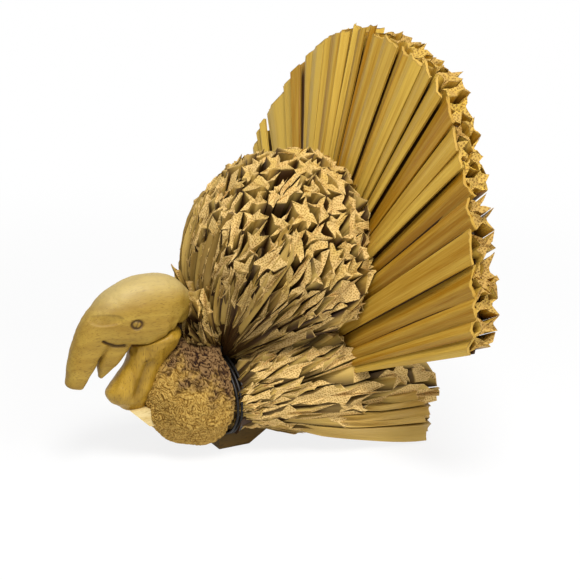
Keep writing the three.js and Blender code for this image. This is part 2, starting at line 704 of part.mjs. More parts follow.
// Turns of wire side by side, with one end sticking up where it was twisted off.
function tiePoints() {
  const steps = Math.round(TIE_TURNS * 24);
  const start = Math.PI * 0.42;
  const front = BREAST_BACK_Y + SEAT_GAP + TIE_WIRE_RADIUS;
  const points = Array.from({ length: steps + 1 }, (_, i) => {
    const turn = start - (2 * Math.PI * i) / 24;
    const along = front + (TIE_PITCH * i) / 24;
    return V(TIE_RADII[0] * Math.cos(turn), along, TIE_CENTRE_Z + TIE_RADII[1] * Math.sin(turn));
  });
  const out = points[0].clone().sub(V(0, points[0].y, TIE_CENTRE_Z)).setLength(TIE_TAIL);
  return [points[0].clone().add(out), points[0].clone().addScaledVector(out, 0.45), ...points];
}

function reportTieGap(points) {
  const apart = 12;
  let least = Infinity;
  points.forEach((p, i) => {
    for (const q of points.slice(i + apart)) least = Math.min(least, p.distanceTo(q));
  });
  console.log(`waist tie: least gap between turns ${(least - 2 * TIE_WIRE_RADIUS).toFixed(2)} mm`);
}

// The band that the turns take up, cut through all that stands outside it or only as far as asked.
function tieRoom(outward = 40) {
  const reach = TIE_WIRE_RADIUS + SEAT_GAP;
  const low = BREAST_BACK_Y - 1;
  const high = BREAST_BACK_Y + 2 * (SEAT_GAP + TIE_WIRE_RADIUS) + TIE_PITCH * TIE_TURNS;
  const disc = (grow) => {
    const [wide, tall] = TIE_RADII.map((radius) => radius + grow);
    const ends = [low, high].map((y) => V(0, y, TIE_CENTRE_Z));
    return solid(loft(ends.map((centre) => ovalRing(centre, V(0, 0, 1), wide, tall, 32))));
  };
  return disc(outward).subtract(disc(-reach));
}

// Materials

function material(color, roughness, metalness = 0) {
  return new THREE.MeshStandardMaterial({ color, roughness, metalness });
}

const carvedWood = material(0xd9b36a, 0.5);
const wattleWood = material(0xb98d3c, 0.55);
const paleWood = material(0xdcc58a, 0.6);
const keelWood = material(0x8a6a2a, 0.7);
const leaf = material(0xc39a4c, 0.85);
const tailLeafFinish = material(0xb08a3a, 0.75);
const shavings = material(0xb5904e, 0.9);
const blackWire = material(0x1a1815, 0.5, 0.6);
const dowelWood = material(0xd6b87c, 0.7);

// The figure

const figure = new THREE.Group();

function addPiece(name, body, finish, parent = figure) {
  const mesh = new THREE.Mesh(geometryOf(body), finish.clone());
  mesh.name = name;
  parent.add(mesh);
}

const tie = tiePoints();
reportTieGap(tie);

addPiece("keel_board", keel, keelWood);
addPiece("neck_block", neck, paleWood);
addPiece("head", head, carvedWood);
addPiece("wattle", wattle, wattleWood);
addPiece("head_dowel", bar(...dowels.head, DOWEL_RADIUS), dowelWood);
addPiece("wattle_dowel", bar(...dowels.wattle, DOWEL_RADIUS), dowelWood);
addPiece("neck_dowel", bar(...dowels.neck, DOWEL_RADIUS), dowelWood);
addPiece("breast_bundle", breastSolid(), shavings);
addPiece("back_bundle", largest(backSolid()), leaf);
addPiece("wing_bundle_left", wingSolid(1), leaf);
addPiece("wing_bundle_right", wingSolid(-1), leaf);
addPiece("waist_tie", wire(tie, TIE_WIRE_RADIUS), blackWire);
addPiece("tail_wire", tailWire(), blackWire);

const fan = new THREE.Group();
figure.add(fan);
for (let i = 0; i < TAIL_LEAVES; i++)
  addPiece(`tail_leaf_${String(i + 1).padStart(2, "0")}`, tailLeaf(i), tailLeafFinish, fan);

export default figure;
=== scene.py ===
# %% [markdown]
# # A turkey figure of bundled leaf, carved wood and black wire
#
# The figure stands about 24 cm tall. Its breast, back, wings and tail are bundles of dried rush leaf,
# and its head, wattle, neck and keel are wood. Black wire holds the bundles at the waist.
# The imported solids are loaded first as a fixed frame, and every piece below takes its place from them.
# Lengths are in millimetres until they go into a mesh, as a maker measures a thing of this size.

import bpy
import numpy as np
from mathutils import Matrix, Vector


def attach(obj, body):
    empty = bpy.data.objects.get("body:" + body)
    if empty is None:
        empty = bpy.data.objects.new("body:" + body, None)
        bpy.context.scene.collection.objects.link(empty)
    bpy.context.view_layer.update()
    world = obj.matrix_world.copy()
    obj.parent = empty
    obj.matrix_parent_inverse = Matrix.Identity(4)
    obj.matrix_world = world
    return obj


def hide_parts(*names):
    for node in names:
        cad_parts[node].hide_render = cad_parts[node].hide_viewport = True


MM = 0.001
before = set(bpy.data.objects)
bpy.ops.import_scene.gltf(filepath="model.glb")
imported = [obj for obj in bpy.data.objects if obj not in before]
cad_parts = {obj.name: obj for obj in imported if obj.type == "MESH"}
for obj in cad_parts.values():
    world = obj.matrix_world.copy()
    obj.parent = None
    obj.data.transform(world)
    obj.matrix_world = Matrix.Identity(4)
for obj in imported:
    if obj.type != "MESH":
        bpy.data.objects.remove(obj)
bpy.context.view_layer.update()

# %% [markdown]
# ## Camera
#
# The figure is seen from its left front, a little from above. A long lens about 90 cm away keeps the
# fan flat. A camera could be turned by angles, but three axes worked out from the view make its place
# easy to check.

# %% Camera
VIEW_TURN, VIEW_LIFT = np.radians([62, 15])
VIEW_DISTANCE = 900
LOOK_AT = np.array([0, 40, 112])
FRAME_SHIFT = (3, -21)  # right and up, so that the figure sits in the frame as photographed
SENSOR, LENS = 36, 93.1

level_back = np.array([np.sin(VIEW_TURN), -np.cos(VIEW_TURN), 0])
back = np.cos(VIEW_LIFT) * level_back + np.sin(VIEW_LIFT) * np.array([0, 0, 1])
right = np.array([np.cos(VIEW_TURN), np.sin(VIEW_TURN), 0])
up = np.cross(back, right)
eye_point = LOOK_AT + VIEW_DISTANCE * back
aim_point = LOOK_AT + FRAME_SHIFT[0] * right + FRAME_SHIFT[1] * up

camera = bpy.data.objects.new("camera", bpy.data.cameras.new("camera"))
bpy.context.scene.collection.objects.link(camera)
camera.data.sensor_width = SENSOR
camera.data.lens = LENS
camera.location = eye_point * MM
camera.rotation_euler = Vector(eye_point - aim_point).to_track_quat("Z", "Y").to_euler()
bpy.context.scene.camera = camera
bpy.context.scene.view_settings.view_transform = "Standard"
print("camera at", np.round(eye_point), "mm")

# %% [markdown]
# ## Putting arrays into a mesh
#
# Every piece here is worked out as numpy arrays, and one function puts them into Blender.
# It also turns a shape round if its faces point inwards, which shows as a negative volume.

# %% Faces of grids
def grid_faces(rows, columns):
    """Quads between the neighbouring rows and columns of a grid that is numbered row by row and closed
    round each row. Also gives each corner's row and column, with columns counted past the seam."""
    r, c = np.mgrid[0:rows - 1, 0:columns]
    row = np.stack([r, r, r + 1, r + 1], -1).reshape(-1, 4)
    column = np.stack([c, c + 1, c + 1, c], -1).reshape(-1, 4)
    return row * columns + column % columns, row, column


def fan_faces(ring, hub, turned=False):
    """Triangles from each edge of a ring of points to one hub point."""
    after = np.roll(ring, -1)
    hubs = np.full(len(ring), hub)
    return np.stack([after, ring, hubs] if turned else [ring, after, hubs], -1)


def hubbed_grid(rows, columns):
    """A grid with a fan at either end, whose two hubs come after the grid's points."""
    ring = np.arange(columns)
    last = rows * columns
    quads, _, _ = grid_faces(rows, columns)
    return [quads, fan_faces(ring, last, True), fan_faces(ring + last - columns, last + 1)]


print("a grid of 3 x 4 points has", len(grid_faces(3, 4)[0]), "quads")

# %% Directions
def turns_of(count):
    """Angles that share a full turn."""
    return 2 * np.pi * np.arange(count) / count


def on_circle(angle):
    """Cosine and sine, side by side."""
    return np.stack([np.cos(angle), np.sin(angle)], -1)


def unit(vectors):
    """Each vector divided by its length."""
    return vectors / np.linalg.norm(vectors, axis=-1, keepdims=True)


def axes_along(direction):
    """A unit axis, a side that leans as little as it can from x, and the up that stands on both."""
    axis = unit(direction)
    side = unit(np.array([1, 0, 0]) - axis[0] * axis)
    return axis, side, np.cross(side, axis)


def heading(axes, polar, turn):
    """The direction at an angle from an axis, and at a turn about it from the side towards the up."""
    axis, side, rise = axes
    out = np.cos(turn)[..., None] * side + np.sin(turn)[..., None] * rise
    return np.cos(polar)[..., None] * axis + np.sin(polar)[..., None] * out


def ball_grid(polar, columns):
    """Directions on a ball round y, by their angles from the front and their turns."""
    polar, turn = np.meshgrid(polar, turns_of(columns), indexing="ij")
    out = np.stack([np.sin(polar) * np.cos(turn), -np.cos(polar), np.sin(polar) * np.sin(turn)], -1)
    return out.reshape(-1, 3)


def distance_round(rings):
    """Distances round closed rings of points, from the first point and back to it."""
    edge = np.linalg.norm(np.roll(rings, -1, axis=-2) - rings, axis=-1)
    return np.concatenate([np.zeros_like(edge[..., :1]), np.cumsum(edge, -1)], -1)


print("axes along z:", axes_along(np.array([0, 0, 1])))

# %% Pieces
def triangles_of(faces):
    """Splits each face into triangles that share its first corner."""
    return np.concatenate([
        np.stack([f[:, 0], f[:, k], f[:, k + 1]], -1) for f in faces for k in range(1, f.shape[1] - 1)])


def outward(points, faces, uv=None):
    """Turns faces, and the uv of their corners, round where they point inwards. The volume tells: it is
    the sum of a . (b x c) / 6 over the triangles."""
    a, b, c = points[triangles_of(faces)].transpose(1, 0, 2)
    if np.einsum("ij,ij->", a, np.cross(b, c)) < 0:
        faces = [f[:, ::-1] for f in faces]
        uv = [u[:, ::-1] for u in uv] if uv else None
    return faces, uv


def joined(parts):
    """Several sets of arrays as one, with the corners of each moved past the points before it."""
    parts = [(p, *outward(p, f, u), m) for p, f, m, u in parts]
    first = np.cumsum([0] + [len(part[0]) for part in parts])
    faces = [f + start for start, part in zip(first, parts) for f in part[1]]
    marks = {key: np.concatenate([part[3][key] for part in parts]) for key in parts[0][3]}
    points = np.concatenate([part[0] for part in parts])
    return points, faces, marks, [u for part in parts for u in part[2]]


def add_piece(name, points, faces, finish, nodes=(), marks=None, uv=None, sharp=40):
    """Makes a piece that rides on the figure. Points are in mm, and faces are arrays of corners with
    equal rows. Marks hold one number for each point, and uv holds two for each corner, face by face."""
    faces, uv = outward(points, faces, uv)
    sizes = np.concatenate([np.full(len(f), f.shape[1]) for f in faces])
    corners = np.concatenate([f.ravel() for f in faces])
    mesh = bpy.data.meshes.new(name)
    mesh.vertices.add(len(points))
    mesh.vertices.foreach_set("co", (points * MM).astype(np.float32).ravel())
    mesh.loops.add(len(corners))
    mesh.loops.foreach_set("vertex_index", corners.astype(np.int32))
    mesh.polygons.add(len(sizes))
    mesh.polygons.foreach_set("loop_start", (np.cumsum(sizes) - sizes).astype(np.int32))
    for mark, values in (marks or {}).items():
        layer = mesh.attributes.new(mark, "FLOAT", "POINT")
        layer.data.foreach_set("value", np.broadcast_to(values, len(points)).astype(np.float32))
    if uv:
        flat = np.concatenate([u.reshape(-1, 2) for u in uv])
        mesh.uv_layers.new(name="UVMap").data.foreach_set("uv", flat.astype(np.float32).ravel())
    mesh.update()
    mesh.validate()
    mesh.shade_smooth()
    mesh.set_sharp_from_angle(angle=np.radians(sharp))
    mesh.materials.append(finish)
    piece = bpy.data.objects.new(name, mesh)
    bpy.context.scene.collection.objects.link(piece)
    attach(piece, "root")
    if nodes:
        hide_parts(*nodes)
    print(f"{name}: {len(triangles_of(faces))} triangles")


def refinish(node, finish):
    """Gives a solid that is shown as it is a finish of its own."""
    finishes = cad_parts[node].data.materials
    finishes.clear()
    finishes.append(finish)
    print(f"{node}: {finish.name}")


# %% [markdown]
# ## Randomness that repeats
#
# Nothing made by hand is even, so most pieces use a smooth random height.
# Noise textures only live in materials, and here the mesh itself has to move.
# A sum of plane waves in random directions gives the same look, and a seed repeats it on every run.

# %% Smooth random heights
def ripple(points, size, seed, waves=36):
    """A sum of plane waves of random direction and phase, each about size mm from crest to crest,
    divided so that the spread is about one."""
    rng = np.random.default_rng(seed)
    directions = rng.normal(size=(3, waves))
    directions *= 2 * np.pi / size * rng.uniform(0.75, 1.3, waves) / np.linalg.norm(directions, axis=0)
    phases = rng.uniform(0, 2 * np.pi, waves)
    return np.sin(points @ directions + phases).sum(-1) * np.sqrt(2 / waves)


def ripples(points, size, seed):
    """Three ripples of one size, as movements along x, y and z."""
    return np.stack([ripple(points, size, seed + k) for k in range(3)], -1)


def smooth_step(value, low, high):
    """Zero below low, one above high, and 3t^2 - 2t^3 between."""
    t = np.clip((value - low) / (high - low), 0, 1)
    return t * t * (3 - 2 * t)


print("spread of a ripple:", ripple(np.linspace([0, 0, 0], [90, 60, 30], 500), 5, 1).std().round(2))

# %% [markdown]
# ## Colours and nodes
#
# Colours are written as sRGB hex values, the way they are read off a colour chart.
# Blender's shaders work in linear light, so one function converts them.
# A second function adds a node, sets it and links it, so that each material reads as a short list.

# %% Colours and nodes
def linear(hex_value):
    """sRGB to linear: c / 12.92 for dark values, ((c + 0.055) / 1.055)^2.4 for the rest."""
    c = np.array([int(hex_value[i:i + 2], 16) for i in (1, 3, 5)]) / 255
    c = np.where(c <= 0.04045, c / 12.92, ((c + 0.055) / 1.055) ** 2.4)
    return (*c.tolist(), 1.0)


def set_inputs(tree, node, inputs):
    """Fills inputs by name or number: a socket is linked, and anything else is set."""
    for key, value in inputs.items():
        if isinstance(value, bpy.types.NodeSocket):
            tree.links.new(value, node.inputs[key])
        else:
            node.inputs[key].default_value = value


def add(tree, kind, inputs=None, stops=(), out=0, **settings):
    """Adds one node, by its name after ShaderNode, and gives one of its outputs.
    Stops are the places and colours of a ramp."""
    node = tree.nodes.new("ShaderNode" + kind)
    for key, value in settings.items():
        setattr(node, key, value)
    set_inputs(tree, node, inputs or {})
    for i, (place, colour) in enumerate(stops):
        element = node.color_ramp.elements[i] if i < 2 else node.color_ramp.elements.new(place)
        element.position = place
        element.color = linear(colour)
    return node.outputs[out]


def new_finish(name, *marks):
    """An empty material: its nodes, its shader, the places on its piece, and the piece's marks."""
    material = bpy.data.materials.new(name)
    material.use_nodes = True
    tree = material.node_tree
    place = add(tree, "TexCoord", out="Object")
    marks = [add(tree, "Attribute", out="Fac", attribute_name=mark) for mark in marks]
    return material, tree, tree.nodes["Principled BSDF"], place, *marks


def per_mm(size):
    """The texture scale at which one cell of a pattern is size mm wide, for coordinates in metres."""
    return 1 / (size * MM)


print("mid grey #808080 is", round(linear("#808080")[0], 3), "in linear light")

# %% [markdown]
# ## Dried rush leaf, split and bundled
#
# The strips are split from dried rush leaf. A split side is smooth, a little shiny and striped along its
# length, and a cut end shows the lace of small air channels that runs through the leaf.
# Each strip carries its own marks: tone sets its colour, cut says where it was sheared, and deep says
# how far a point lies below the trimmed surface, where its colour is painted darker as shade.
# The marks travel with the mesh, so the pattern can't slide.

# %% Strip leaf
FIBRE_STRETCH = 30  # length of a stripe, in widths
BLOTCH = 9  # mm


def strip_leaf(name, pale, warm, shade_colour, cut_pale, cut_dark, fibre, pore):
    """Fibre stripes are noise stretched along the strip by its own UV map, which is in mm.
    Pores are the cells of a Voronoi pattern of the given size, darkest at their middle."""
    material, tree, shader, place, tone, cut, deep = new_finish(name, "tone", "cut", "deep")
    along = add(tree, "UVMap", uv_map="UVMap")
    scales = (1 / fibre, 1 / (FIBRE_STRETCH * fibre), 0)
    stretched = add(tree, "VectorMath", {0: along, 1: scales}, operation="MULTIPLY")
    stripes = add(tree, "TexNoise", {"Vector": stretched, "Scale": 1, "Detail": 3})
    streaks = add(tree, "TexNoise", {"Vector": stretched, "Scale": 0.2, "Detail": 2})
    blotch = add(tree, "TexNoise", {"Vector": place, "Scale": per_mm(BLOTCH), "Detail": 2})
    pores = add(tree, "TexVoronoi", {"Vector": along, "Scale": 1 / pore, "Randomness": 0.55},
                out="Distance", voronoi_dimensions="2D")
    lace = add(tree, "MapRange", {0: pores, 1: 0.12, 2: 0.42})

    mixed = add(tree, "Math", {0: tone, 1: 0.55, 2: -0.5}, operation="MULTIPLY_ADD")
    mixed = add(tree, "Math", {0: stripes, 1: 0.55, 2: mixed}, operation="MULTIPLY_ADD")
    mixed = add(tree, "Math", {0: streaks, 1: 0.9, 2: mixed}, operation="MULTIPLY_ADD")
    side = add(tree, "ValToRGB", {0: mixed}, [(0.2, warm), (0.8, pale)])
    paling = add(tree, "Math", {0: tone, 1: 0.35, 2: blotch}, operation="MULTIPLY_ADD")
    end = add(tree, "ValToRGB", {0: paling}, [(0.35, pale), (0.75, cut_pale)])
    end = add(tree, "Mix", {0: lace, 6: linear(cut_dark), 7: end}, out=2, data_type="RGBA")
    sheared = add(tree, "Mix", {0: cut, 6: side, 7: end}, out=2, data_type="RGBA")
    # Painted shade: by the deep mark, a point is mixed towards the dark shade colour.
    shaded = add(tree, "MapRange", {0: deep, 1: 0.05, 2: 1.0, 4: 0.95}, interpolation_type="SMOOTHSTEP")
    in_shade = add(tree, "Mix", {0: shaded, 6: sheared, 7: linear(shade_colour)}, out=2, data_type="RGBA")

    rough = add(tree, "MapRange", {0: cut, 3: 0.42, 4: 0.8})
    height = add(tree, "Mix", {0: cut, 2: stripes, 3: lace}, data_type="FLOAT")
    bump = add(tree, "Bump", {"Height": height, "Strength": 0.55, "Distance": 0.5 * MM})
    set_inputs(tree, shader, {"Base Color": in_shade, "Roughness": rough, "Normal": bump, "IOR": 1.48,
                              "Specular IOR Level": 0.2})
    return material


# Split rush leaf: waxy golden sides with fine stripes, and pale, lacy, sheared ends
rush_strip = strip_leaf(
    "split_rush_leaf", "#c8a759", "#a27d34", "#2a0f03", "#d8b674", "#a7823f", fibre=0.7, pore=1.3)
# Dried tail leaf: the same plant, wider and older, so browner and duller, with coarser stripes
tail_leaf = strip_leaf(
    "dried_tail_leaf", "#ceaa48", "#9a6b10", "#331a05", "#b8944e", "#8d6930", fibre=0.8, pore=1.7)
# Leaf deep in a bundle is painted in full shade by these marks.
INNER = {"deep": 1.0, "tone": 0.5, "cut": 0.0}  # marks of leaf that lies deep in a bundle
print("leaf finishes:", rush_strip.name, tail_leaf.name)

# %% [markdown]
# ## The forms that the bundles are trimmed to
#
# Each bundle was tied, spread and then sheared to a form: an egg for the back, a club for each wing.
# A strip can only end where its form does, so the forms are written as tests of points.
# The sizes are those of the solids, so that the visible strips fill the same space.

# %% Breast and tail
BREAST_CENTRE = np.array([0, -22, 36.5])
BREAST_RADIUS = 32.5
BREAST_BACK_Y = -9.5
KEEL_HALF = 10
TAIL_SEAT = np.array([0, 52, 60])
TAIL_HALF_WIDTH = 148
TAIL_HEIGHT = 184
TAIL_SWEEP = 22
TAIL_LEAN = 27
TAIL_EDGE_RISE = 0.13  # slope of the tail's lower edge
TAIL_ROOT_DEPTH = 9
TAIL_RIM_DEPTH = 18


def in_egg(points, centre, radii):
    """True where the sum of squared shares of the radii is below one."""
    return (((points - centre) / radii) ** 2).sum(-1) < 1


def tail_front(points):
    """The y of the tail's front at a place: it sweeps back with the distance from the seat, and leans
    with height."""
    across = points[..., 0] / TAIL_HALF_WIDTH
    rise = (points[..., 2] - TAIL_SEAT[2]) / TAIL_HEIGHT
    return TAIL_SEAT[1] - TAIL_ROOT_DEPTH / 2 + TAIL_SWEEP * np.hypot(across, rise) + TAIL_LEAN * rise


print("tail front at the seat: y", tail_front(TAIL_SEAT), "mm")

# %% Form of the wings
WING_ROOT = np.array([19, -4, 36])
WING_END = np.array([47, 112, 19])
WING_ROOT_RADII = np.array([10, 14.5])
WING_WIDEST_RADII = np.array([23, 34])
WING_END_RADII = np.array([17, 18.5])
WING_WIDEST_AT = 0.56
WING_ARCH = 12.5  # how far the middle of a wing is lifted
WING_AXIS, WING_SIDE, WING_UP = axes_along(WING_END - WING_ROOT)
WING_LENGTH = np.linalg.norm(WING_END - WING_ROOT)
WING_MEET = WING_ROOT - 16 * WING_AXIS - 12 * WING_UP  # where the strips of a wing would meet
SLATTED = (0.38, 0.6, 0.86)  # shares of a wing's length where the slats begin, stand higher, and end
SLATS_TOP = (14, 36)  # height that they cover, before and after they stand higher
UNDER_SLATS, UNDER_SKIN = 0.82, 1.05  # how far out strips may end, as shares of the wing's radii
LOWEST = 0.3  # height of the lowest strip above the floor


def wing_radii(share):
    """Half width and half height: swelling from the root to the widest place, then trimmed with the
    square of the rest."""
    swell = smooth_step(share, -0.25, WING_WIDEST_AT)[..., None]
    trim = np.clip((share - WING_WIDEST_AT) / (1 - WING_WIDEST_AT), 0, 1)[..., None] ** 2
    full = WING_ROOT_RADII + (WING_WIDEST_RADII - WING_ROOT_RADII) * swell
    return full + (WING_END_RADII - full) * trim


def wing_place(points):
    """Where points lie in their wing: the share of its length, and the share of the way to its skin.
    The axis is lifted in the middle by the arch, as 4 s (1 - s)."""
    mirrored = np.concatenate([np.abs(points[..., :1]), points[..., 1:]], -1) - WING_ROOT
    share = mirrored @ WING_AXIS / WING_LENGTH
    rise = mirrored @ WING_UP - WING_ARCH * 4 * share * (1 - share)
    radii = wing_radii(share)
    return share, np.hypot(mirrored @ WING_SIDE / radii[..., 0], rise / radii[..., 1])


def in_wing(points, grow):
    """True inside either wing's club, grown by a factor."""
    share, oval = wing_place(points)
    return (share > 0) & (share < 1) & (oval < grow)


def wing_depth(points):
    """How far points lie under a wing's skin, in mm."""
    share, oval = wing_place(points)
    return np.minimum((1 - oval) * WING_WIDEST_RADII.mean(), (1 - share) * WING_LENGTH)


def in_left_wing(points):
    """The left club, off the floor and clear of the keel, the tail and the slats, and all that lies
    ahead of its root."""
    x, y, z = np.moveaxis(points, -1, 0)
    ahead = (points - WING_ROOT) @ WING_AXIS < 0
    clear = (z < TAIL_SEAT[2] + TAIL_EDGE_RISE * np.abs(x)) | (y < tail_front(points) - 1)
    share, _ = wing_place(points)
    begin, full, end = SLATTED
    slatted = (z < np.where(share < full, *SLATS_TOP)) & (share > begin) & (share < end)
    club = in_wing(points, np.where(slatted, UNDER_SLATS, UNDER_SKIN))
    return ahead | (club & clear & (z > LOWEST) & (x > KEEL_HALF + 0.5))


print("wing length", round(float(WING_LENGTH), 1), "mm")

# %% Form of the back
BACK_CENTRE = np.array([0, 40.5, 108])
BACK_RADII = np.array([66, 62.5, 67.5])
BACK_MEET = np.array([0, -4, 52])  # where the strips of the back would meet, at the waist
BACK_AXES = axes_along(BACK_CENTRE - BACK_MEET)
BACK_LEAD = 8.0  # how far along the axis the strips are still packed in a cone
BACK_DROP = (BACK_AXES, (54, 68), 152.0)  # axes, cone in degrees, and longest strip


def drop_depth(points, axes, cone, longest):
    """How far points lie inside a drop with its point at the waist. At a distance r its half angle is
    cone * sqrt(1 - (r / longest)^2), and what is left of that angle, times r, is the depth.
    The cone is given sideways, and to front and back."""
    away = points - BACK_MEET
    far = np.linalg.norm(away, axis=-1)
    along, across, rise = (away @ axis for axis in axes)
    angle = np.degrees(np.arctan2(np.hypot(across, rise), along))
    upright = rise ** 2 / np.maximum(across ** 2 + rise ** 2, 1e-9)
    widest = cone[0] + (cone[1] - cone[0]) * upright
    room = widest * np.sqrt(np.maximum(1 - (far / longest) ** 2, 0)) - angle
    return np.radians(room) * far


def back_depth(points):
    """How far points lie under the skin of the back, in mm."""
    egg = 1 - np.linalg.norm((points - BACK_CENTRE) / BACK_RADII, axis=-1)
    return np.minimum(egg * BACK_RADII.mean(), drop_depth(points, *BACK_DROP))


def in_back(points):
    """The egg of the back and the cone that leads to it, in front of the tail and clear of breast and
    wings."""
    lead = (points - BACK_MEET) @ BACK_AXES[0] < BACK_LEAD
    egg = in_egg(points, BACK_CENTRE, BACK_RADII) & ~in_wing(points, 1.03)
    breast = in_egg(points, BREAST_CENTRE, BREAST_RADIUS + 0.5) & (points[..., 1] < BREAST_BACK_Y)
    before_tail = points[..., 1] < tail_front(points) - 1.5
    return (lead | egg) & (drop_depth(points, *BACK_DROP) > 0) & ~breast & before_tail


print("depth of the back at its centre:", back_depth(BACK_CENTRE).round(1), "mm")

# %% [markdown]
# ## Bundles of strips
#
# A split leaf dries with hollow sides, so its section is a star whose tips touch its neighbours,
# and dark pockets stay open between them. Each strip could be a small modelled object that is copied
# about, but then no two would fit. Here the bundle is cut up like a honeycomb instead: seeds are spread
# over a disc, each takes the space nearest to it, and the star is drawn inside that space.
# All strips run from one root, so a seed stands for a direction, and a strip ends where its form does.

# %% Star sections
STAR_POINTS = 24
NEIGHBOURS = 14
SCAN = 180  # directions in which a cell's corners are looked for
FLAT_SIDES = 0.15  # share of sides that stay nearly flat and leave only a slit
TOUCH = 0.985  # how much of its cell a star's tip fills
BESIDE_TIP = 0.33  # how much of a tip's reach the points beside it keep


def star_sections(seeds, count, hollow, rng, vary=0.0):
    """Angles and radii of the star round each of the first count seeds, which points are tips, and how
    far each is drawn in. A cell's edge in direction u lies at the least s |d|^2 / (2 d.u) over the
    vectors d to its neighbours. The share s is one, or more for a strong seed beside a weak one, by
    weights that vary. The angle nearest each corner moves onto it, and away from corners each side is
    drawn in by its own hollow."""
    to_others = seeds[None] - seeds[:count, None]
    squares = (to_others ** 2).sum(-1)
    nearest = np.argsort(squares, axis=1)[:, 1:1 + NEIGHBOURS]
    to_others = np.take_along_axis(to_others, nearest[..., None], axis=1)
    weight = vary * rng.uniform(-1, 1, len(seeds))
    share = np.clip(1 + weight[:count, None] - weight[nearest], 0.4, 1.6)
    halves = (share * np.take_along_axis(squares, nearest, axis=1))[:, None] / 2

    def edge(angles):
        along = np.einsum("sac,snc->san", on_circle(angles), to_others)
        return halves / np.maximum(along, 1e-9)

    scan = turns_of(SCAN)
    nearest_side = edge(np.broadcast_to(scan, (count, SCAN))).argmin(-1)
    strip, step = np.nonzero(nearest_side != np.roll(nearest_side, -1, axis=1))
    corner = scan[step] + np.pi / SCAN
    place = np.rint(corner * STAR_POINTS / (2 * np.pi)).astype(int)
    angles = np.tile(turns_of(STAR_POINTS), (count, 1))
    angles[strip, place % STAR_POINTS] = corner - 2 * np.pi * (place // STAR_POINTS)
    tip = np.zeros_like(angles)
    tip[strip, place % STAR_POINTS] = 1
    beside = np.maximum(np.roll(tip, 1, axis=1), np.roll(tip, -1, axis=1))
    kept = np.maximum(tip, BESIDE_TIP * beside)
    far = edge(angles)
    flat = rng.random(nearest.shape) < FLAT_SIDES
    slit, pocket = rng.uniform(0.05, 0.3, nearest.shape), rng.uniform(0.7, 1.3, nearest.shape)
    depth = hollow * np.where(flat, slit, pocket)
    drawn_in = np.take_along_axis(depth, far.argmin(-1), axis=1) * (1 - kept)
    drawn_in = np.clip(drawn_in + rng.normal(0, 0.025, angles.shape), 0, 0.85)
    return angles, far.min(-1) * (TOUCH - drawn_in), tip, drawn_in


print("star sections have", STAR_POINTS, "points")

# %% Reach of the strips
def last_inside(inside, low, high, rounds):
    """Halves the span between a value that is inside and one that may not be, again and again."""
    for _ in range(rounds):
        half = (low + high) / 2
        good = inside(half)
        low, high = np.where(good, half, low), np.where(good, high, half)
    return low


def reach_of(root, headings, inside, longest=190, step=2.0):
    """How far rays stay inside a form: the first step outside, then ten halvings of the last span."""
    steps = np.arange(step, longest, step)
    held = inside(root + steps[:, None, None] * headings[None])
    low = np.where(held.all(0), len(steps), (~held).argmax(0)) * step
    return last_inside(lambda far: inside(root + far[:, None] * headings), low, low + step, 10)


def headings_of(places, axes):
    """The direction that a place on the disc stands for: r = 2 sin(a / 2) keeps equal areas equal
    solid angles."""
    far = np.minimum(np.linalg.norm(places, axis=-1), 1.99)
    return heading(axes, 2 * np.arcsin(far / 2), np.arctan2(places[..., 1], places[..., 0]))


print("the back reaches", reach_of(BACK_MEET, BACK_AXES[0][None], in_back).round(1), "mm along its axis")

# %% [markdown]
# Each strip is a short stack of star rings: at the root, just under the cut, and at the cut.
# The ring under the cut keeps the pale sheared edge narrow. The end is closed by a fan of triangles with
# a sunk middle, as soft leaf dries. Few faces are enough for one strip, because there are hundreds.

# %% Stacks of rings
UV_APART = 40  # mm by which the patterns of a pale and a dark strip are apart
# Painted shade in the sunk middle of each cut end.
HUB_SHADE = 0.25  # how much darker the middle of a cut is


def stacked(rings, tone, deep, hub_sink):
    """Closes stacks of three star rings with a fan at the cut and a flat foot, as arrays for add_piece.
    The uv of a side is the distances round and along it, and that of a cut is flat on it."""
    count, rows, columns, _ = rings.shape
    shift = UV_APART * tone[:, None, None]
    lift = unit((rings[:, -1] - rings[:, -2]).mean(1))
    hub = rings[:, -1].mean(1) - hub_sink * lift
    points = np.concatenate([rings.reshape(count, -1, 3), hub[:, None]], 1)
    each = points.shape[1]
    first = each * np.arange(count)[:, None, None]
    quads, row, column = grid_faces(rows, columns)
    fan = fan_faces(np.arange((rows - 1) * columns, rows * columns), each - 1)
    foot = np.arange(columns)[None, ::-1]
    faces = [(f + first).reshape(-1, f.shape[-1]) for f in (quads, fan, foot)]

    length = np.linalg.norm((rings - rings[:, :1]).mean(2), axis=-1)
    uv_side = np.stack([distance_round(rings[:, -1])[:, column], length[:, row]], -1) + shift[..., None]
    flat = rings[:, -1] - rings[:, -1].mean(1, keepdims=True)
    facing = unit(np.cross(flat, np.roll(flat, -1, axis=1)).sum(1, keepdims=True))
    first_axis = lift[:, None] + 0.05 * flat[:, :1]
    first_axis = unit(first_axis - (first_axis * facing).sum(-1, keepdims=True) * facing)
    second_axis = np.cross(facing, first_axis)
    end = np.stack([(flat * first_axis).sum(-1), (flat * second_axis).sum(-1)], -1) + shift
    uv_end = np.stack([end, np.roll(end, -1, axis=1), np.broadcast_to(shift, end.shape)], 2)
    uv = [uv_side.reshape(-1, 4, 2), uv_end.reshape(-1, 3, 2), np.zeros((count, columns, 2))]

    hub_deep = deep[:, -1].mean(1, keepdims=True) + HUB_SHADE
    marks = {
        "tone": np.repeat(tone, each),
        "deep": np.concatenate([deep.reshape(count, -1), hub_deep], 1).ravel(),
        "cut": np.tile(np.append(np.zeros((rows - 1) * columns), np.ones(columns + 1)), count),
    }
    return points.reshape(-1, 3), faces, marks, uv


CURL, CURL_SIZE = 0.8, 9.0  # how far drying has curled the ends, and over what length


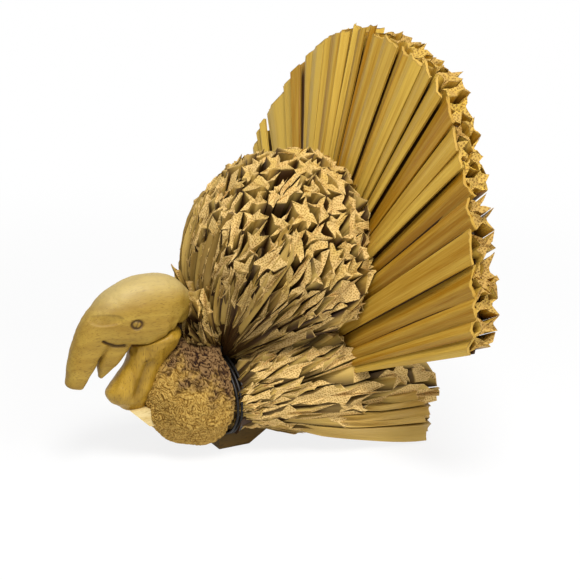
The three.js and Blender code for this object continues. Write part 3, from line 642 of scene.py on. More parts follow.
def curled(rings, seed):
    """Moves all rings but the root's by smooth random heights, as drying curls the ends of leaf."""
    ends = rings[:, 1:]
    return np.concatenate([rings[:, :1], ends + CURL * ripples(ends, CURL_SIZE, seed)], 1)


print("ends curl over", CURL_SIZE, "mm")

# %% Strips
GOLDEN_TURN = np.pi * (3 - np.sqrt(5))  # spreads seeds evenly over a disc
CUT_EDGE = 0.9  # width of the pale edge
# Painted shade on the walls of strips: in narrow slits, close under the cut, and with depth.
SLIT_SHADE = 0.62  # how dark a wall is where a slit is all that parts it from its neighbour
EDGE_SHADE = 0.14  # how much darker a wall is close under the cut
DARK_FROM = 14.0  # depth at which little light reaches a strip


def leaf_strips(root, direction, count, spread, inside, depth_of, start, hollow, seed, shortest,
                ragged=0.025, uneven=0.2, flare=1.2, sink=1.8, shade=None, tied_across=None):
    """Strips from root to the edge of a form, as arrays for add_piece. Each point of a cut lies on the
    form, so that strips end in long points, and their lengths differ more where they slant more.
    Tips flare and middles sink, as drying leaf curls. Strips tied across an axis start at one distance
    along it."""
    rng = np.random.default_rng(seed)
    edge = 2 * np.sin(np.radians(spread) / 2)
    number = np.arange(int(1.35 * count) + 20)
    far = edge * np.sqrt((number + 0.5) / count)
    seeds = far[:, None] * on_circle(number * GOLDEN_TURN)
    seeds += rng.normal(0, uneven * edge * np.sqrt(np.pi / count), seeds.shape)
    angles, radii, tip, drawn_in = star_sections(seeds, count, hollow, rng, vary=0.3)
    tip = tip * rng.uniform(0, 1.6, tip.shape)
    places = seeds[:count, None] + radii[..., None] * on_circle(angles)
    headings = headings_of(places, axes_along(direction))
    reach = reach_of(root, headings.reshape(-1, 3), inside).reshape(count, STAR_POINTS)
    usual = np.median(reach, axis=1, keepdims=True)
    slant = np.clip(np.ptp(reach, axis=1, keepdims=True) / np.maximum(usual, 1e-9), 0, 0.5)
    lean = rng.uniform(0, 2 * np.pi, (count, 1))
    trim = 1 + 0.4 * ragged - (ragged + 0.05 * slant) * rng.random((count, 1))
    trim = trim - 0.35 * ragged * np.cos(angles - lean)
    tone = rng.random(count)
    length = (usual + np.clip(reach - usual, -0.6 * usual, 0.9 * usual)) * trim
    length = length + flare * (1 - 2 * slant) * (tip - 0.5)
    length += rng.normal(0, 0.3, length.shape)
    facing = np.ones_like(length) if tied_across is None else np.clip(headings @ tied_across, 0.3, 1)
    whole = (usual[:, 0] > shortest) & ((start / facing).max(1) < 0.9 * usual[:, 0])
    headings, length, tone, drawn_in = headings[whole], length[whole], tone[whole], drawn_in[whole]

    near = np.minimum(start / facing[whole], 0.75 * length)
    rings = root + np.stack([near, length - CUT_EDGE, length], 1)[..., None] * headings[:, None]
    rings = curled(rings, seed + 500)
    rings[..., 2] = np.maximum(rings[..., 2], LOWEST)
    # Painted shade: walls darken with depth under the form's skin, in narrow slits, and just under the
    # cut.
    under = depth_of(root + np.maximum(length - DARK_FROM, near)[..., None] * headings)
    fall = np.clip(under / np.minimum(DARK_FROM, length - near), 0, 1)
    deep = np.stack([fall * (length - near), fall * CUT_EDGE, np.zeros_like(length)], 1) / DARK_FROM
    deep[:, :2] += SLIT_SHADE * (1 - smooth_step(drawn_in, 0.1, 0.35))[:, None]
    deep[:, 1] += EDGE_SHADE
    if shade is not None:
        deep = deep + shade(rings)
    print(len(rings), "strips of", count, "are long enough")
    return stacked(rings, tone, deep, sink)


# %% Cores
CORE_GRID = (18, 48)


def leaf_core(root, direction, spread, inside, start, share):
    """The pressed middle of a bundle: a grid of rays from the root, each a share of its reach long."""
    rows, columns = CORE_GRID
    axes = axes_along(direction)
    polar = np.linspace(0.02, np.radians(spread), rows)
    headings = heading(axes, *np.meshgrid(polar, turns_of(columns), indexing="ij"))
    reach = reach_of(root, headings.reshape(-1, 3), inside).reshape(CORE_GRID)
    length = start + share * np.maximum(reach - start, 0)
    hubs = root + np.outer([length[0].mean(), 0.8 * start], axes[0])
    points = np.concatenate([(root + length[..., None] * headings).reshape(-1, 3), hubs])
    return points, hubbed_grid(rows, columns)


print("a core has", CORE_GRID[0] * CORE_GRID[1] + 2, "points")

# %% [markdown]
# Where a bundle is seen from its side, strips show their smooth length and not their cut.
# Those are long, shallow troughs with two edges, so they get a function of their own.
# Wide leaves will be closed in the same way, as rings from foot to cut with a flat face at either end.

# %% Long strips
def leaf_grid(rings, along, wide_ring, apart, tone, deep, cut):
    """Rings at distances along a leaf, with flat ends, as arrays for add_piece. The uv is that distance
    and the one round a wide ring, moved apart from other leaves. Only the last ring is cut."""
    rows, columns, _ = rings.shape
    quads, row, column = grid_faces(rows, columns)
    ring = np.arange(columns)[None]
    faces = [quads, ring[:, ::-1], ring + (rows - 1) * columns]
    uv_side = np.stack([distance_round(wide_ring)[column], along[row]], -1) + apart
    sheared = np.append(np.zeros((rows - 1) * columns), np.full(columns, cut))
    marks = {"tone": np.full(rows * columns, tone), "deep": deep.ravel(), "cut": sheared}
    return rings.reshape(-1, 3), faces, marks, [uv_side, *np.zeros((2, 1, columns, 2))]


LONG_HOLLOW = 1.2  # how far the face of a long strip is drawn in
LONG_ACROSS = 7  # points across its face


def long_strip(low_edge, high_edge, inward, dip, seed, depth, brown=0.0, cup=0.0):
    """A strip whose face lies between two edges, drawn in by 4 t (1 - t), with its back deeper in the
    bundle. Edges, inward directions and dips have one row for each place along it, and a dip sinks the
    face there. Towards its end the hollow deepens by the cup, whose floor is painted darker as shade."""
    rng = np.random.default_rng(seed)
    across = np.linspace(0, 1, LONG_ACROSS)
    along = np.append(0, np.cumsum(np.linalg.norm(np.diff(low_edge, axis=0), axis=1)))
    wave = 0.5 * np.sin(along[:, None] / 9 + 5 * across + 6 * rng.random())
    trough = 4 * across * (1 - across)
    opening = cup * smooth_step(along / along[-1], 0.3, 0.95)[:, None]
    sag = (LONG_HOLLOW + opening) * trough + wave + dip[:, None]
    face = low_edge[:, None] + (high_edge - low_edge)[:, None] * across[:, None]
    face = face + sag[..., None] * inward[:, None]
    rings = np.concatenate([face, face[:, ::-1] + depth * inward[:, None]], 1)
    # Painted shade: the back face is dark, and the edges, the sunk root and the cup's floor are darker.
    deep = brown + np.repeat([0, 0.9], LONG_ACROSS) + 0.08 * dip[:, None]
    deep[:, [0, LONG_ACROSS - 1]] += 0.12
    deep[:, :LONG_ACROSS] += 0.09 * opening * trough
    return leaf_grid(rings, along, rings[len(rings) // 2], 3 * seed, rng.uniform(0.5, 1.1), deep, 1)


print("a long strip is drawn in by", LONG_HOLLOW, "mm")

# %% [markdown]
# ## Back
#
# The back is the largest bundle: a dome of strips that spread from a root behind the neck.
# Seen from above it is a field of stars. On its front the strips lie along the form, so one row of long
# strips is laid there side by side. A core inside, painted dark as shade, closes the slits between them
# all.

# %% Long strips on the front of the back
FRONT_TURNS = np.radians([28, 152])  # turns about the axis between which strips are seen from the side
FRONT_WIDTHS = (3.5, 8)  # degrees
FRONT_START, FRONT_ENDS = 26, (66, 106)  # distances from the root
FRONT_GAPS = [0.008, 0.018, 0.032]  # radians
FRONT_SLANT = 4  # how far one corner of a cut may stand before or behind its middle
FRONT_SUNK = 1.8  # how far an edge may stand out or in
FRONT_DIP, FRONT_DIP_LENGTH = 5, 14
FRONT_THICK = 4.5
FRONT_BROWN = (0.05, 0.55)
FRONT_CUP = (0.5, 4)


def back_point(turn, far, angle):
    """A point by its turn about the axis of the back, its distance from the root and its angle from the
    axis."""
    return BACK_MEET + far[..., None] * heading(BACK_AXES, angle, turn)


def back_skin(turn, far):
    """The angle from the axis at which the form of the back ends, by sixteen halvings."""
    low, high = np.zeros_like(far), np.full_like(far, np.radians(80))
    return last_inside(lambda angle: in_back(back_point(turn, far, angle)), low, high, 16)


def front_strips():
    """Long strips, side by side round the axis, each with a slanted, cupped end and a sunk root."""
    rng = np.random.default_rng(41)
    turns = FRONT_TURNS[0] + np.radians(np.append(0, np.cumsum(rng.uniform(*FRONT_WIDTHS, 60))))
    turns = turns[turns < FRONT_TURNS[1]]
    strips = []
    for index, (first, last) in enumerate(zip(turns[:-1], turns[1:])):
        end = rng.uniform(*FRONT_ENDS)
        gap = rng.choice(FRONT_GAPS)
        edges = []
        for turn, slant in zip((first + gap, last - gap), rng.uniform(-FRONT_SLANT, FRONT_SLANT, 2)):
            far = np.append(np.linspace(FRONT_START, end + slant, 12), end + slant + 0.8)
            turn = np.full_like(far, turn)
            sunk = rng.uniform(-FRONT_SUNK, FRONT_SUNK)
            edges.append(back_point(turn, far, back_skin(turn, far) - sunk / far))
        inward = unit(back_point(turn, far, np.full_like(far, 0.2)) - (edges[0] + edges[1]) / 2)
        dip = FRONT_DIP * (1 - smooth_step(far, FRONT_START, FRONT_START + FRONT_DIP_LENGTH))
        brown, cup = rng.uniform(*FRONT_BROWN), rng.uniform(*FRONT_CUP)
        strips.append(long_strip(*edges, inward, dip, 400 + index, FRONT_THICK, brown, cup))
    return strips


long_strips = front_strips()
print(len(long_strips), "long strips on the front")

# %% Back
BACK_SHADE = 0.42
BACK_SHADE_SPAN = (150, 70)  # height, plus a part of y, where the brown begins and is full


def back_painted_shade(points):
    """Painted shade: the leaf is darker low on the flank and towards the neck."""
    return BACK_SHADE * smooth_step(points[..., 2] + 0.6 * points[..., 1], *BACK_SHADE_SPAN)


strips = leaf_strips(
    BACK_MEET, BACK_AXES[0], count=400, spread=68, inside=in_back, depth_of=back_depth, start=7,
    hollow=0.56, seed=11, shortest=8, uneven=0.3, flare=1.7, shade=back_painted_shade)
points, faces, marks, uv = joined([strips] + long_strips)
add_piece("back_strips", points, faces, rush_strip, ["back_bundle"], marks, uv)
points, faces = leaf_core(BACK_MEET, BACK_AXES[0], spread=60, inside=in_back, start=5, share=0.5)
add_piece("back_core", points, faces, rush_strip, marks=INNER)

# %% [markdown]
# All bundles pass through the tie at the waist, where they are pressed so hard that no strip shows.
# A flattened ball in the wire stands for that root, painted dark as shade: no light comes through the
# waist.

# %% Root of the bundles
ROOT_CENTRE = np.array([0, -5.5, 35])
ROOT_RADII = np.array([27, 6.5, 20.5])
ROOT_GRID = (16, 40)

ball = ball_grid(np.linspace(0, np.pi, ROOT_GRID[0] + 2)[1:-1], ROOT_GRID[1])
points = ROOT_CENTRE + ROOT_RADII * np.concatenate([ball, [[0, -1, 0], [0, 1, 0]]])
marks = {**INNER, "deep": 0.8}
add_piece("bundle_root", points, hubbed_grid(*ROOT_GRID), rush_strip, marks=marks)

# %% [markdown]
# Short, thin strips stand between the back and the nape of the head, like a ruff. They are a small
# bundle with the same root, a narrower cone, and a front that keeps clear of the head.

# %% Ruff
RUFF_AXIS = np.array([0, -0.4, 0.92])
RUFF_CONE = 40
RUFF_DROP = (axes_along(RUFF_AXIS), (RUFF_CONE, RUFF_CONE), 57.0)
NAPE_Y, NAPE_Z = -26.5, 98  # the nape leans to the front above this height
NAPE_LEAN = 0.4
# Painted shade on the ruff: how much at the waist, and how much of it the tips lose.
RUFF_SHADE, RUFF_PALER = 0.32, 0.6
RUFF_TIPS = (84, 104)  # heights between which the ruff turns paler


def ruff_depth(points):
    """How far points lie inside a narrow drop that leans to the front."""
    return drop_depth(points, *RUFF_DROP)


def in_ruff(points):
    """The ruff's drop, as far as the nape of the head."""
    nape = points[..., 1] < NAPE_Y - NAPE_LEAN * np.maximum(points[..., 2] - NAPE_Z, 0)
    return (ruff_depth(points) > 0) & ~nape


def ruff_painted_shade(points):
    """The ruff is painted darker at the waist, as shade, and paler at its tips."""
    return RUFF_SHADE - RUFF_PALER * smooth_step(points[..., 2], *RUFF_TIPS)


points, faces, marks, uv = leaf_strips(
    BACK_MEET, RUFF_AXIS, count=75, spread=RUFF_CONE, inside=in_ruff, depth_of=ruff_depth, start=6,
    hollow=0.6, seed=17, shortest=12, ragged=0.36, uneven=0.3, flare=1.5, sink=0.8, shade=ruff_painted_shade)
add_piece("neck_ruff", points, faces, rush_strip, (), marks, uv)

# %% [markdown]
# ## Wings
#
# A wing is a club of strips tied at the waist and trimmed to a swelling form, so most strips end on its
# side, in long slanting cuts, and the rest at its blunt back. Low on its outer side lie slats nearly as
# long as the wing, and they are long strips too. The right wing is the left one mirrored in x.

# %% Wing slats
SLATS = [  # low and high edge: height at the wing's end, share of its half width. Then start and end
    (0.8, 0.74, 13.5, 0.98, 0.2, 0.94), (15, 0.98, 19.6, 1.03, 0.3, 0.91),
    (19.9, 1.02, 25.6, 1.04, 0.33, 0.93), (27, 1.0, 31, 1.02, 0.48, 0.9),
    (31.4, 1.0, 35.5, 0.95, 0.58, 0.86)]
SLATS_MEET = 24.0  # height at which the slats would meet at the waist
SLAT_INWARD = [-1, 0.24, 0]
SLAT_THICK, SLAT_CUP = 13, 1.5
SLAT_DIP, SLAT_DIP_SHARE = 7, 0.2


def slat_edge(share, height, out):
    """One edge of a slat: lowered from the waist along a smooth step, and a share of the wing's half
    width out from its axis."""
    middle = WING_ROOT + share[:, None] * (WING_END - WING_ROOT)
    x = middle[:, 0] + out * wing_radii(share)[:, 0]
    z = SLATS_MEET + (height - SLATS_MEET) * smooth_step(share, -0.35, 1.05)
    return np.stack([x, middle[:, 1], z], -1)


def wing_slat(low, low_out, high, high_out, start, end, index):
    """A long strip on the outer side of the wing, with its root sunk into it."""
    share = np.append(np.linspace(start, end, 13), end + 0.006)
    dip = SLAT_DIP * (1 - smooth_step(share, start, start + SLAT_DIP_SHARE))
    inward = np.tile(SLAT_INWARD, (len(share), 1))
    edges = slat_edge(share, low, low_out), slat_edge(share, high, high_out)
    return long_strip(*edges, inward, dip, 90 + index, SLAT_THICK, cup=SLAT_CUP)


slats = [wing_slat(*slat, index) for index, slat in enumerate(SLATS)]
print(len(slats), "slats on each wing")

# %% Wings
WING_STRIPS_TO = 0.5 * (WING_ROOT + WING_END) + 10 * WING_UP
# Painted light: the wing's strips are painted paler, as if more light reached them under the fan and
# back.
WING_PAINTED_LIGHT = 0.6

strips = leaf_strips(
    WING_MEET, WING_STRIPS_TO - WING_MEET, count=170, spread=50, inside=in_left_wing,
    depth_of=wing_depth, start=17.5, hollow=0.62, seed=23, shortest=26, ragged=0.05,
    tied_across=WING_AXIS)
strips[2]["tone"] += WING_PAINTED_LIGHT
points, faces, marks, uv = joined([strips] + slats)
core, core_faces = leaf_core(WING_MEET, WING_AXIS, spread=30, inside=in_left_wing, start=22, share=0.5)
for hand, mirror in (("left", [1, 1, 1]), ("right", [-1, 1, 1])):
    nodes = [f"wing_bundle_{hand}"]
    add_piece(f"wing_strips_{hand}", points * mirror, faces, rush_strip, nodes, marks, uv)
    add_piece(f"wing_core_{hand}", core * mirror, core_faces, rush_strip, marks=INNER)

# %% [markdown]
# ## Tail
#
# The tail is a fan strung on a wire. Wide, flat leaves cover its front, overlapping a little, and behind
# them the leaf is pleated into small hollow-sided strips, so the sheared rim is a band of cells.
# The rim can be unrolled onto a flat sheet, with length along it and depth through it in mm,
# so the star sections that made the bundles make these pleats as well.

# %% Fan
TAIL_HALF_ANGLE = 81.5
LOW_LEAVES = (48, 82)  # angles between which leaves are more and more sprung
LOW_LEAF_DROP = 30.0
TAIL_RIM = np.array([  # angle from the top, and the share of the oval that the leaves there reach
    (-82, 0.985), (-38, 0.99), (-20, 1), (20, 1), (28, 1.03), (36, 1.035), (44, 1.02), (55, 1), (65, 1),
    (72, 1.01), (77, 1.015), (82, 1)])


def tail_point(degrees, share, depth):
    """A point of the fan: round an oval by its angle, out by its share, back by sweep, lean and depth.
    Low leaves are sprung: their feet sit lower than the seat, by a drop that fades out to the rim."""
    angle = np.radians(degrees)
    thick = TAIL_ROOT_DEPTH + (TAIL_RIM_DEPTH - TAIL_ROOT_DEPTH) * share
    x = TAIL_HALF_WIDTH * np.sin(angle) * share
    y = share * (TAIL_SWEEP + TAIL_LEAN * np.cos(angle)) + depth * thick - TAIL_ROOT_DEPTH / 2
    drop = LOW_LEAF_DROP * smooth_step(np.abs(degrees), *LOW_LEAVES) * (1 - share)
    return TAIL_SEAT + np.stack([x, y, TAIL_HEIGHT * np.cos(angle) * share - drop], -1)


def rim_share(degrees):
    """How far out the shears cut at an angle: straight lines between the marks, and a quick wave."""
    return np.interp(degrees, *TAIL_RIM.T) + 0.006 * np.sin(0.9 * degrees + 1)


print("top of the fan:", tail_point(0.0, rim_share(0.0), 0.5).round(1), "mm")

# %% Pleats of the fan
RIM_RADIUS = 166.0  # mean of half width and height, for unrolling the rim
PLEAT = 10.5  # mean width of a pleat
PLEATS_FROM = 2.2  # depth at which the pleats begin behind the front leaves
PLEAT_FOOT = 0.13  # shares of the way to the rim
PLEAT_EDGE = 0.006
DOUBLE_PLEATS = 0.35  # share of places where two pleats lie behind each other
PLEAT_SHADE = np.array([14.0, 0.1, 0.0])  # at the foot, under the cut and at the cut


def pleat_arrays():
    """Star sections on the unrolled rim, each carried from near the foot out to the cut. Also gives
    their tones, angles and the shade of their walls, which fades out towards the open back."""
    rng = np.random.default_rng(57)
    half = np.radians(TAIL_HALF_ANGLE) * RIM_RADIUS
    column = np.cumsum(rng.uniform(0.7, 1.3, int(2 * half / PLEAT))) * PLEAT
    column = np.interp(column, [0, column[-1] + PLEAT / 2], [-half, half])
    middle = (PLEATS_FROM + TAIL_RIM_DEPTH) / 2
    double = rng.random(len(column)) < DOUBLE_PLEATS
    apart = np.where(double, rng.uniform(3.2, 4.2, len(column)), rng.normal(0, 1, len(column)))
    seconds = np.stack([column + 1.5, middle - apart], -1)[double]
    kept = np.concatenate([np.stack([column, middle + apart], -1), seconds])
    mirrored = [kept * [1, -1] + [0, 2 * plane] for plane in (PLEATS_FROM, TAIL_RIM_DEPTH)]
    mirrored += [kept * [-1, 1] + [2 * end, 0] for end in (-half, half)]
    angles, radii, _, _ = star_sections(np.concatenate([kept, *mirrored]), len(kept), 0.56, rng)
    places = kept[:, None] + radii[..., None] * on_circle(angles)
    degrees = np.degrees(places[..., 0] / RIM_RADIUS)
    depth = places[..., 1] / TAIL_RIM_DEPTH
    length = rim_share(degrees) * (1.0 - 0.03 * rng.random((len(kept), 1)))
    share = np.stack([np.full_like(length, PLEAT_FOOT), length - PLEAT_EDGE, length], 1)
    straight = tail_point(degrees[:, None], share, depth[:, None])
    rings = curled(straight, 560)
    rings[..., 1] = np.maximum(rings[..., 1], straight[..., 1] - 0.2)
    hidden = 1 - 0.97 * smooth_step(depth, 0.72, 0.93)
    shade = PLEAT_SHADE[:, None] * hidden[:, None]
    return rings, rng.random(len(kept)), np.degrees(kept[:, 0] / RIM_RADIUS), shade


pleats, pleat_tone, pleat_angle, pleat_shade = pleat_arrays()
print(len(pleats), "pleats in the fan")

# %% Front leaves of the fan
LEAF_ROWS = 16
LEAF_THICK = 1.6 / TAIL_RIM_DEPTH  # thickness of a front leaf, as a share of the rim's depth
LEAF_FOOT = 15.35 / TAIL_HALF_WIDTH
LEAF_OVERLAPS = [-0.2, 0.15, 0.7]  # mm that an edge lies inside its share of the fan


def front_leaf(low, high, index):
    """A wide leaf between two angles: a thin outline with a ridge along it, carried from foot to rim and
    bowed on the way."""
    rng = np.random.default_rng(700 + index)
    across = np.linspace(-1, 1, 11)
    face = rng.uniform(-0.16, 0.0) + rng.normal(0, 0.04) * across
    face += rng.uniform(0.04, 0.2) * np.abs(across - rng.uniform(-0.5, 0.5))
    rounded = face[[-1, 0]] + LEAF_THICK / 2
    outline = np.concatenate([across, [1.02], across[::-1], [-1.02]])
    depth = np.concatenate([face, rounded[:1], face[::-1] + LEAF_THICK, rounded[1:]])
    middle, half = (low + high) / 2, (high - low) / 2
    cut = rng.normal(0, 0.004) * outline + rng.uniform(-0.014, 0.004)
    cut = cut + 0.002 * rng.normal(size=len(outline))
    full = (rim_share(middle) + cut)[None]
    out = np.append(np.linspace(0, 0.994, LEAF_ROWS - 1), 1)[:, None]
    share = LEAF_FOOT + out * (full - LEAF_FOOT)
    bow = rng.normal(0, 0.05) * np.sin(np.pi * share)
    bow = bow + 0.015 * np.sin(rng.uniform(5, 9) * share + rng.uniform(0, 6))
    narrowed = half - np.degrees(rng.choice(LEAF_OVERLAPS) / (np.maximum(share, 0.4) * TAIL_HEIGHT))
    points = tail_point(middle + outline * narrowed, share, depth + bow)
    along = np.linalg.norm(points[:, 0] - points[0, 0], axis=-1)
    # Painted shade: a leaf is darker towards its foot and on its narrow edges, where the leaves crowd.
    deep = 0.7 * (1 - smooth_step(share, 0.1, 0.5)) ** 2 + 0.6 * (np.abs(outline) > 1)
    # Tone differs at random from leaf to leaf. On top of that, painted light and shade: leaves at
    # negative angles and the lowest at positive angles are paler, and the rest of the positive side a
    # little darker.
    tone = rng.uniform(-0.1, 1.0) * (1 - 0.15 * smooth_step(middle, 0, 50))
    tone = tone + 0.4 * smooth_step(-middle, -15, 25) + 0.25 * smooth_step(middle, 50, 70)
    return leaf_grid(points, along, points[-1], 37 * index, tone, np.clip(deep, 0, 1), 0.5)


widths = np.random.default_rng(31).uniform(2.6, 6.8, 60)
edges = -TAIL_HALF_ANGLE + np.append(0, np.cumsum(widths))
edges = np.append(edges[edges < TAIL_HALF_ANGLE - 2.5], TAIL_HALF_ANGLE)
front_angle = (edges[1:] + edges[:-1]) / 2
print(len(front_angle), "front leaves")

# %% Folded leaves
TAIL_LEAVES = 22
PITCH = 2 * TAIL_HALF_ANGLE / TAIL_LEAVES


def fan_core(low, high):
    """The middle of the fan between two angles: a thin panel, painted dark as shade, that closes the
    pleats' slits.
    """
    angles = np.linspace(low, high, 5)
    outline = np.concatenate([angles, angles[::-1]])
    share = np.linspace(0.15, 0.955, 8)[:, None] * rim_share(outline)
    points = tail_point(np.broadcast_to(outline, share.shape), share, np.repeat([0.46, 0.54], 5))
    along = np.linalg.norm(points[:, 0] - points[0, 0], axis=-1)
    return leaf_grid(points, along, points[-1], 0, 0.3, np.ones_like(share), 0)


for index in range(TAIL_LEAVES):
    low = -TAIL_HALF_ANGLE + index * PITCH
    mine = np.nonzero((front_angle >= low) & (front_angle < low + PITCH))[0]
    behind = (pleat_angle >= low) & (pleat_angle < low + PITCH)
    parts = [stacked(pleats[behind], pleat_tone[behind], pleat_shade[behind], 1.5)]
    parts += [fan_core(low, low + PITCH)]
    parts += [front_leaf(edges[k], edges[k + 1], k) for k in mine]
    number = f"{index + 1:02d}"
    points, faces, marks, uv = joined(parts)
    nodes = [f"tail_leaf_{number}"]
    add_piece(f"folded_leaf_{number}", points, faces, tail_leaf, nodes, marks, uv)

# %% [markdown]
# ## Breast
#
# The breast is a ball of very fine leaf shavings, pressed together until only a crinkled, woolly surface
# shows. Thousands of separate shavings would be slow and would look like hair. Crinkles are ridges that
# wander, and the absolute value of a random wave gives just that: a crease where the wave passes zero.

# %% Crinkled shavings
FLUFF = 1.2  # mm


def crinkled_shavings():
    """Pale crests, and creases painted brown as shade, from the mesh's own crease mark, broken up by
    fine noise.
    """
    name = "crinkled_leaf_shavings"
    material, tree, shader, place, crease, shaded_top = new_finish(name, "crease", "shaded_top")
    fluff = add(tree, "TexNoise", {"Vector": place, "Scale": per_mm(FLUFF), "Detail": 3})
    lit = add(tree, "Math", {0: fluff, 1: 0.5, 2: crease}, operation="MULTIPLY_ADD")
    # Painted shade: the crease mark turns the creases darker.
    pale = add(tree, "ValToRGB", {0: lit}, [(0.15, "#c39f52"), (1.0, "#73521a"), (0.55, "#a27e38")])
    # Painted shade: the top of the breast is mixed towards these darker colours.
    dark = add(tree, "ValToRGB", {0: lit}, [(0.1, "#8f7048"), (0.85, "#1c0a02"), (0.5, "#563a1c")])
    mixed = add(tree, "Mix", {0: shaded_top, 6: pale, 7: dark}, out=2, data_type="RGBA")
    bump = add(tree, "Bump", {"Height": fluff, "Strength": 0.5, "Distance": 0.4 * MM})
    set_inputs(tree, shader, {"Base Color": mixed, "Normal": bump, "Roughness": 0.85,
                              "Specular IOR Level": 0.2})
    return material


# Fine shavings of the same leaf: a matt, woolly gold, painted dark brown towards the neck as shade
shavings = crinkled_shavings()
print("breast finish:", shavings.name)

# %% Breast ball
BREAST_GRID = (290, 330)
SHADED_TOP_SPAN = (13, 32)  # where the painted shade begins and is full, measured up and to the back


def breast_arrays(rows, columns):
    """A ball from its front pole to its flat back, pushed out by |wave| creases of two sizes and by slow
    lumps. The waves are squeezed in height, so that the crinkles run level."""
    behind = np.arccos((BREAST_CENTRE[1] - BREAST_BACK_Y) / BREAST_RADIUS)
    out = ball_grid(np.linspace(0, behind, rows + 1)[1:], columns)
    out = np.concatenate([out, [[0, -1, 0]]])
    bare = BREAST_CENTRE + BREAST_RADIUS * out
    warped = bare + 1.2 * ripples(bare, 6, 1)
    ragged = 3 * ripple(bare, 11, 8) + 2 * ripple(bare, 4, 9)
    # Painted shade: the top and back of the ball are marked to turn darker, where the crinkles are also
    # coarser.
    shaded_top = smooth_step(bare[:, 1] * 0.5 + bare[:, 2] * 0.75 + ragged, *SHADED_TOP_SPAN)
    coarse = np.minimum(np.abs(ripple(warped * [0.6, 0.6, 2.2], 4.6, 4)), 1.3)
    fine = np.minimum(np.abs(ripple(warped * [0.45, 0.45, 2.0], 2.2, 5)), 1.3)
    crease = 0.3 * coarse + 0.8 * fine + shaded_top * (0.9 * coarse - 0.6 * fine)
    height = -0.8 + (0.3 + 0.6 * shaded_top) * coarse + 0.4 * fine + 0.5 * ripple(bare, 19, 6)
    points = BREAST_CENTRE + (BREAST_RADIUS + height)[:, None] * out
    points[:, 1] = np.minimum(points[:, 1], BREAST_BACK_Y)
    points[:, 2] = np.maximum(points[:, 2], 0.8)
    hub = [[BREAST_CENTRE[0], BREAST_BACK_Y, BREAST_CENTRE[2]]]
    marks = {"crease": np.append(1 - np.clip(crease, 0, 1), 1), "shaded_top": np.append(shaded_top, 1)}
    return np.concatenate([points, hub]), hubbed_grid(rows, columns), marks


points, faces, marks = breast_arrays(*BREAST_GRID)
add_piece("breast_shavings", points, faces, shavings, ["breast_bundle"], marks, sharp=80)

# %% [markdown]
# ## Woods
#
# Four woods show: the pale carved head, the darker wattle, the raw neck block with its dowels, and the
# stained keel. All are close-grained, so one recipe does: slow colour bands along the grain, and short
# dark flecks that are noise squeezed across the grain and stretched along it.
# Two marks of the mesh change the colour: carve darkens cuts, and a second mark pales what faces up,
# as painted light from above.

# %% Wood finishes
BAND = (5, 0.92, 4, 0.6)  # width in mm, what is taken off the scale along the grain, detail, distortion
FLECK = (0.55, 0.84, 1, 0)


def close_grained_wood(name, light, dark, fleck, grain=(0, 1, 0), roughness=0.45):
    """Bands are noise stretched twelve times along the grain, and flecks are fine noise stretched six
    times."""
    material, tree, shader, place, carve, paling = new_finish(name, "carve", "paling")
    noises = []
    for size, squeeze, detail, bend in (BAND, FLECK):
        scales = tuple(per_mm(size) * (1 - squeeze * np.array(grain)))
        stretched = add(tree, "VectorMath", {0: place, 1: scales}, operation="MULTIPLY")
        noise = {"Vector": stretched, "Scale": 1, "Detail": detail, "Distortion": bend}
        noises.append(add(tree, "TexNoise", noise))
    bands, flecks = noises
    spots = add(tree, "MapRange", {0: flecks, 1: 0.56, 2: 0.72, 4: 0.6})
    # Painted light: the second mark mixes the wood towards a pale tint where the head faces up.
    paler = add(tree, "Math", {0: paling, 1: 0.45}, operation="MULTIPLY")
    colour = add(tree, "ValToRGB", {0: bands}, [(0.3, dark), (0.68, light)])
    for amount, tint in ((spots, fleck), (paler, "#cdbc86"), (carve, "#3a2108")):
        colour = add(tree, "Mix", {0: amount, 6: colour, 7: linear(tint)}, out=2, data_type="RGBA")
    bump = add(tree, "Bump", {"Height": flecks, "Strength": 0.12, "Distance": 0.3 * MM})
    set_inputs(tree, shader, {"Base Color": colour, "Normal": bump, "Roughness": roughness, "IOR": 1.5,
                              "Specular IOR Level": 0.3})
    return material


# Sanded and waxed beech: pale gold with short brown flecks and a soft shine
head_wood = close_grained_wood("waxed_beech", "#a98a36", "#917024", "#6c4e17", roughness=0.55)
# The same wood left rough from the knife and darkened with oil
wattle_wood = close_grained_wood(
    "oiled_beech", "#ae8a2e", "#8d6b18", "#5f420e", grain=(0, 0, 1), roughness=0.42)
# Raw offcut of limewood: dry, pale and matt
raw_wood = close_grained_wood("raw_limewood", "#e0cb93", "#ceb271", "#a98a4b", roughness=0.7)
# Sawn and stained board: brown, dull and coarse
keel_wood = close_grained_wood("stained_keel_board", "#7a5e2a", "#54401a", "#33240c", roughness=0.7)

refinish("keel_board", keel_wood)
for node in ("neck_block", "head_dowel", "wattle_dowel", "neck_dowel"):
    refinish(node, raw_wood)

# %% [markdown]
# ## Head and wattle
#
# The head was carved from one block: a long curve runs from the nape over the crown and down the snood,
# with the beak below it. Each is a row of ovals along a smooth curve. A voxel remesh melts them into one
# skin, and then the eye, the mouth and the gouge are pressed into it point by point.
# The wattle is made the same way, and sits on a slanted saw cut under the head.

# %% Carved forms
CAP_RINGS = 7


def smooth_path(knots, steps):
    """Catmull-Rom curve: the cubic through each pair of knots that leaves along the chord of their
    neighbours."""
    knots = np.asarray(knots, float)
    padded = np.vstack([2 * knots[0] - knots[1], knots, 2 * knots[-1] - knots[-2]])
    t = np.linspace(0, len(knots) - 1, steps)
    i = np.minimum(t.astype(int), len(knots) - 2)
    f = (t - i)[:, None]
    a, b, c, d = padded[i], padded[i + 1], padded[i + 2], padded[i + 3]
    square, cube = 2 * a - 5 * b + 4 * c - d, 3 * b - a - 3 * c + d
    return 0.5 * (2 * b + (c - a) * f + square * f ** 2 + cube * f ** 3)


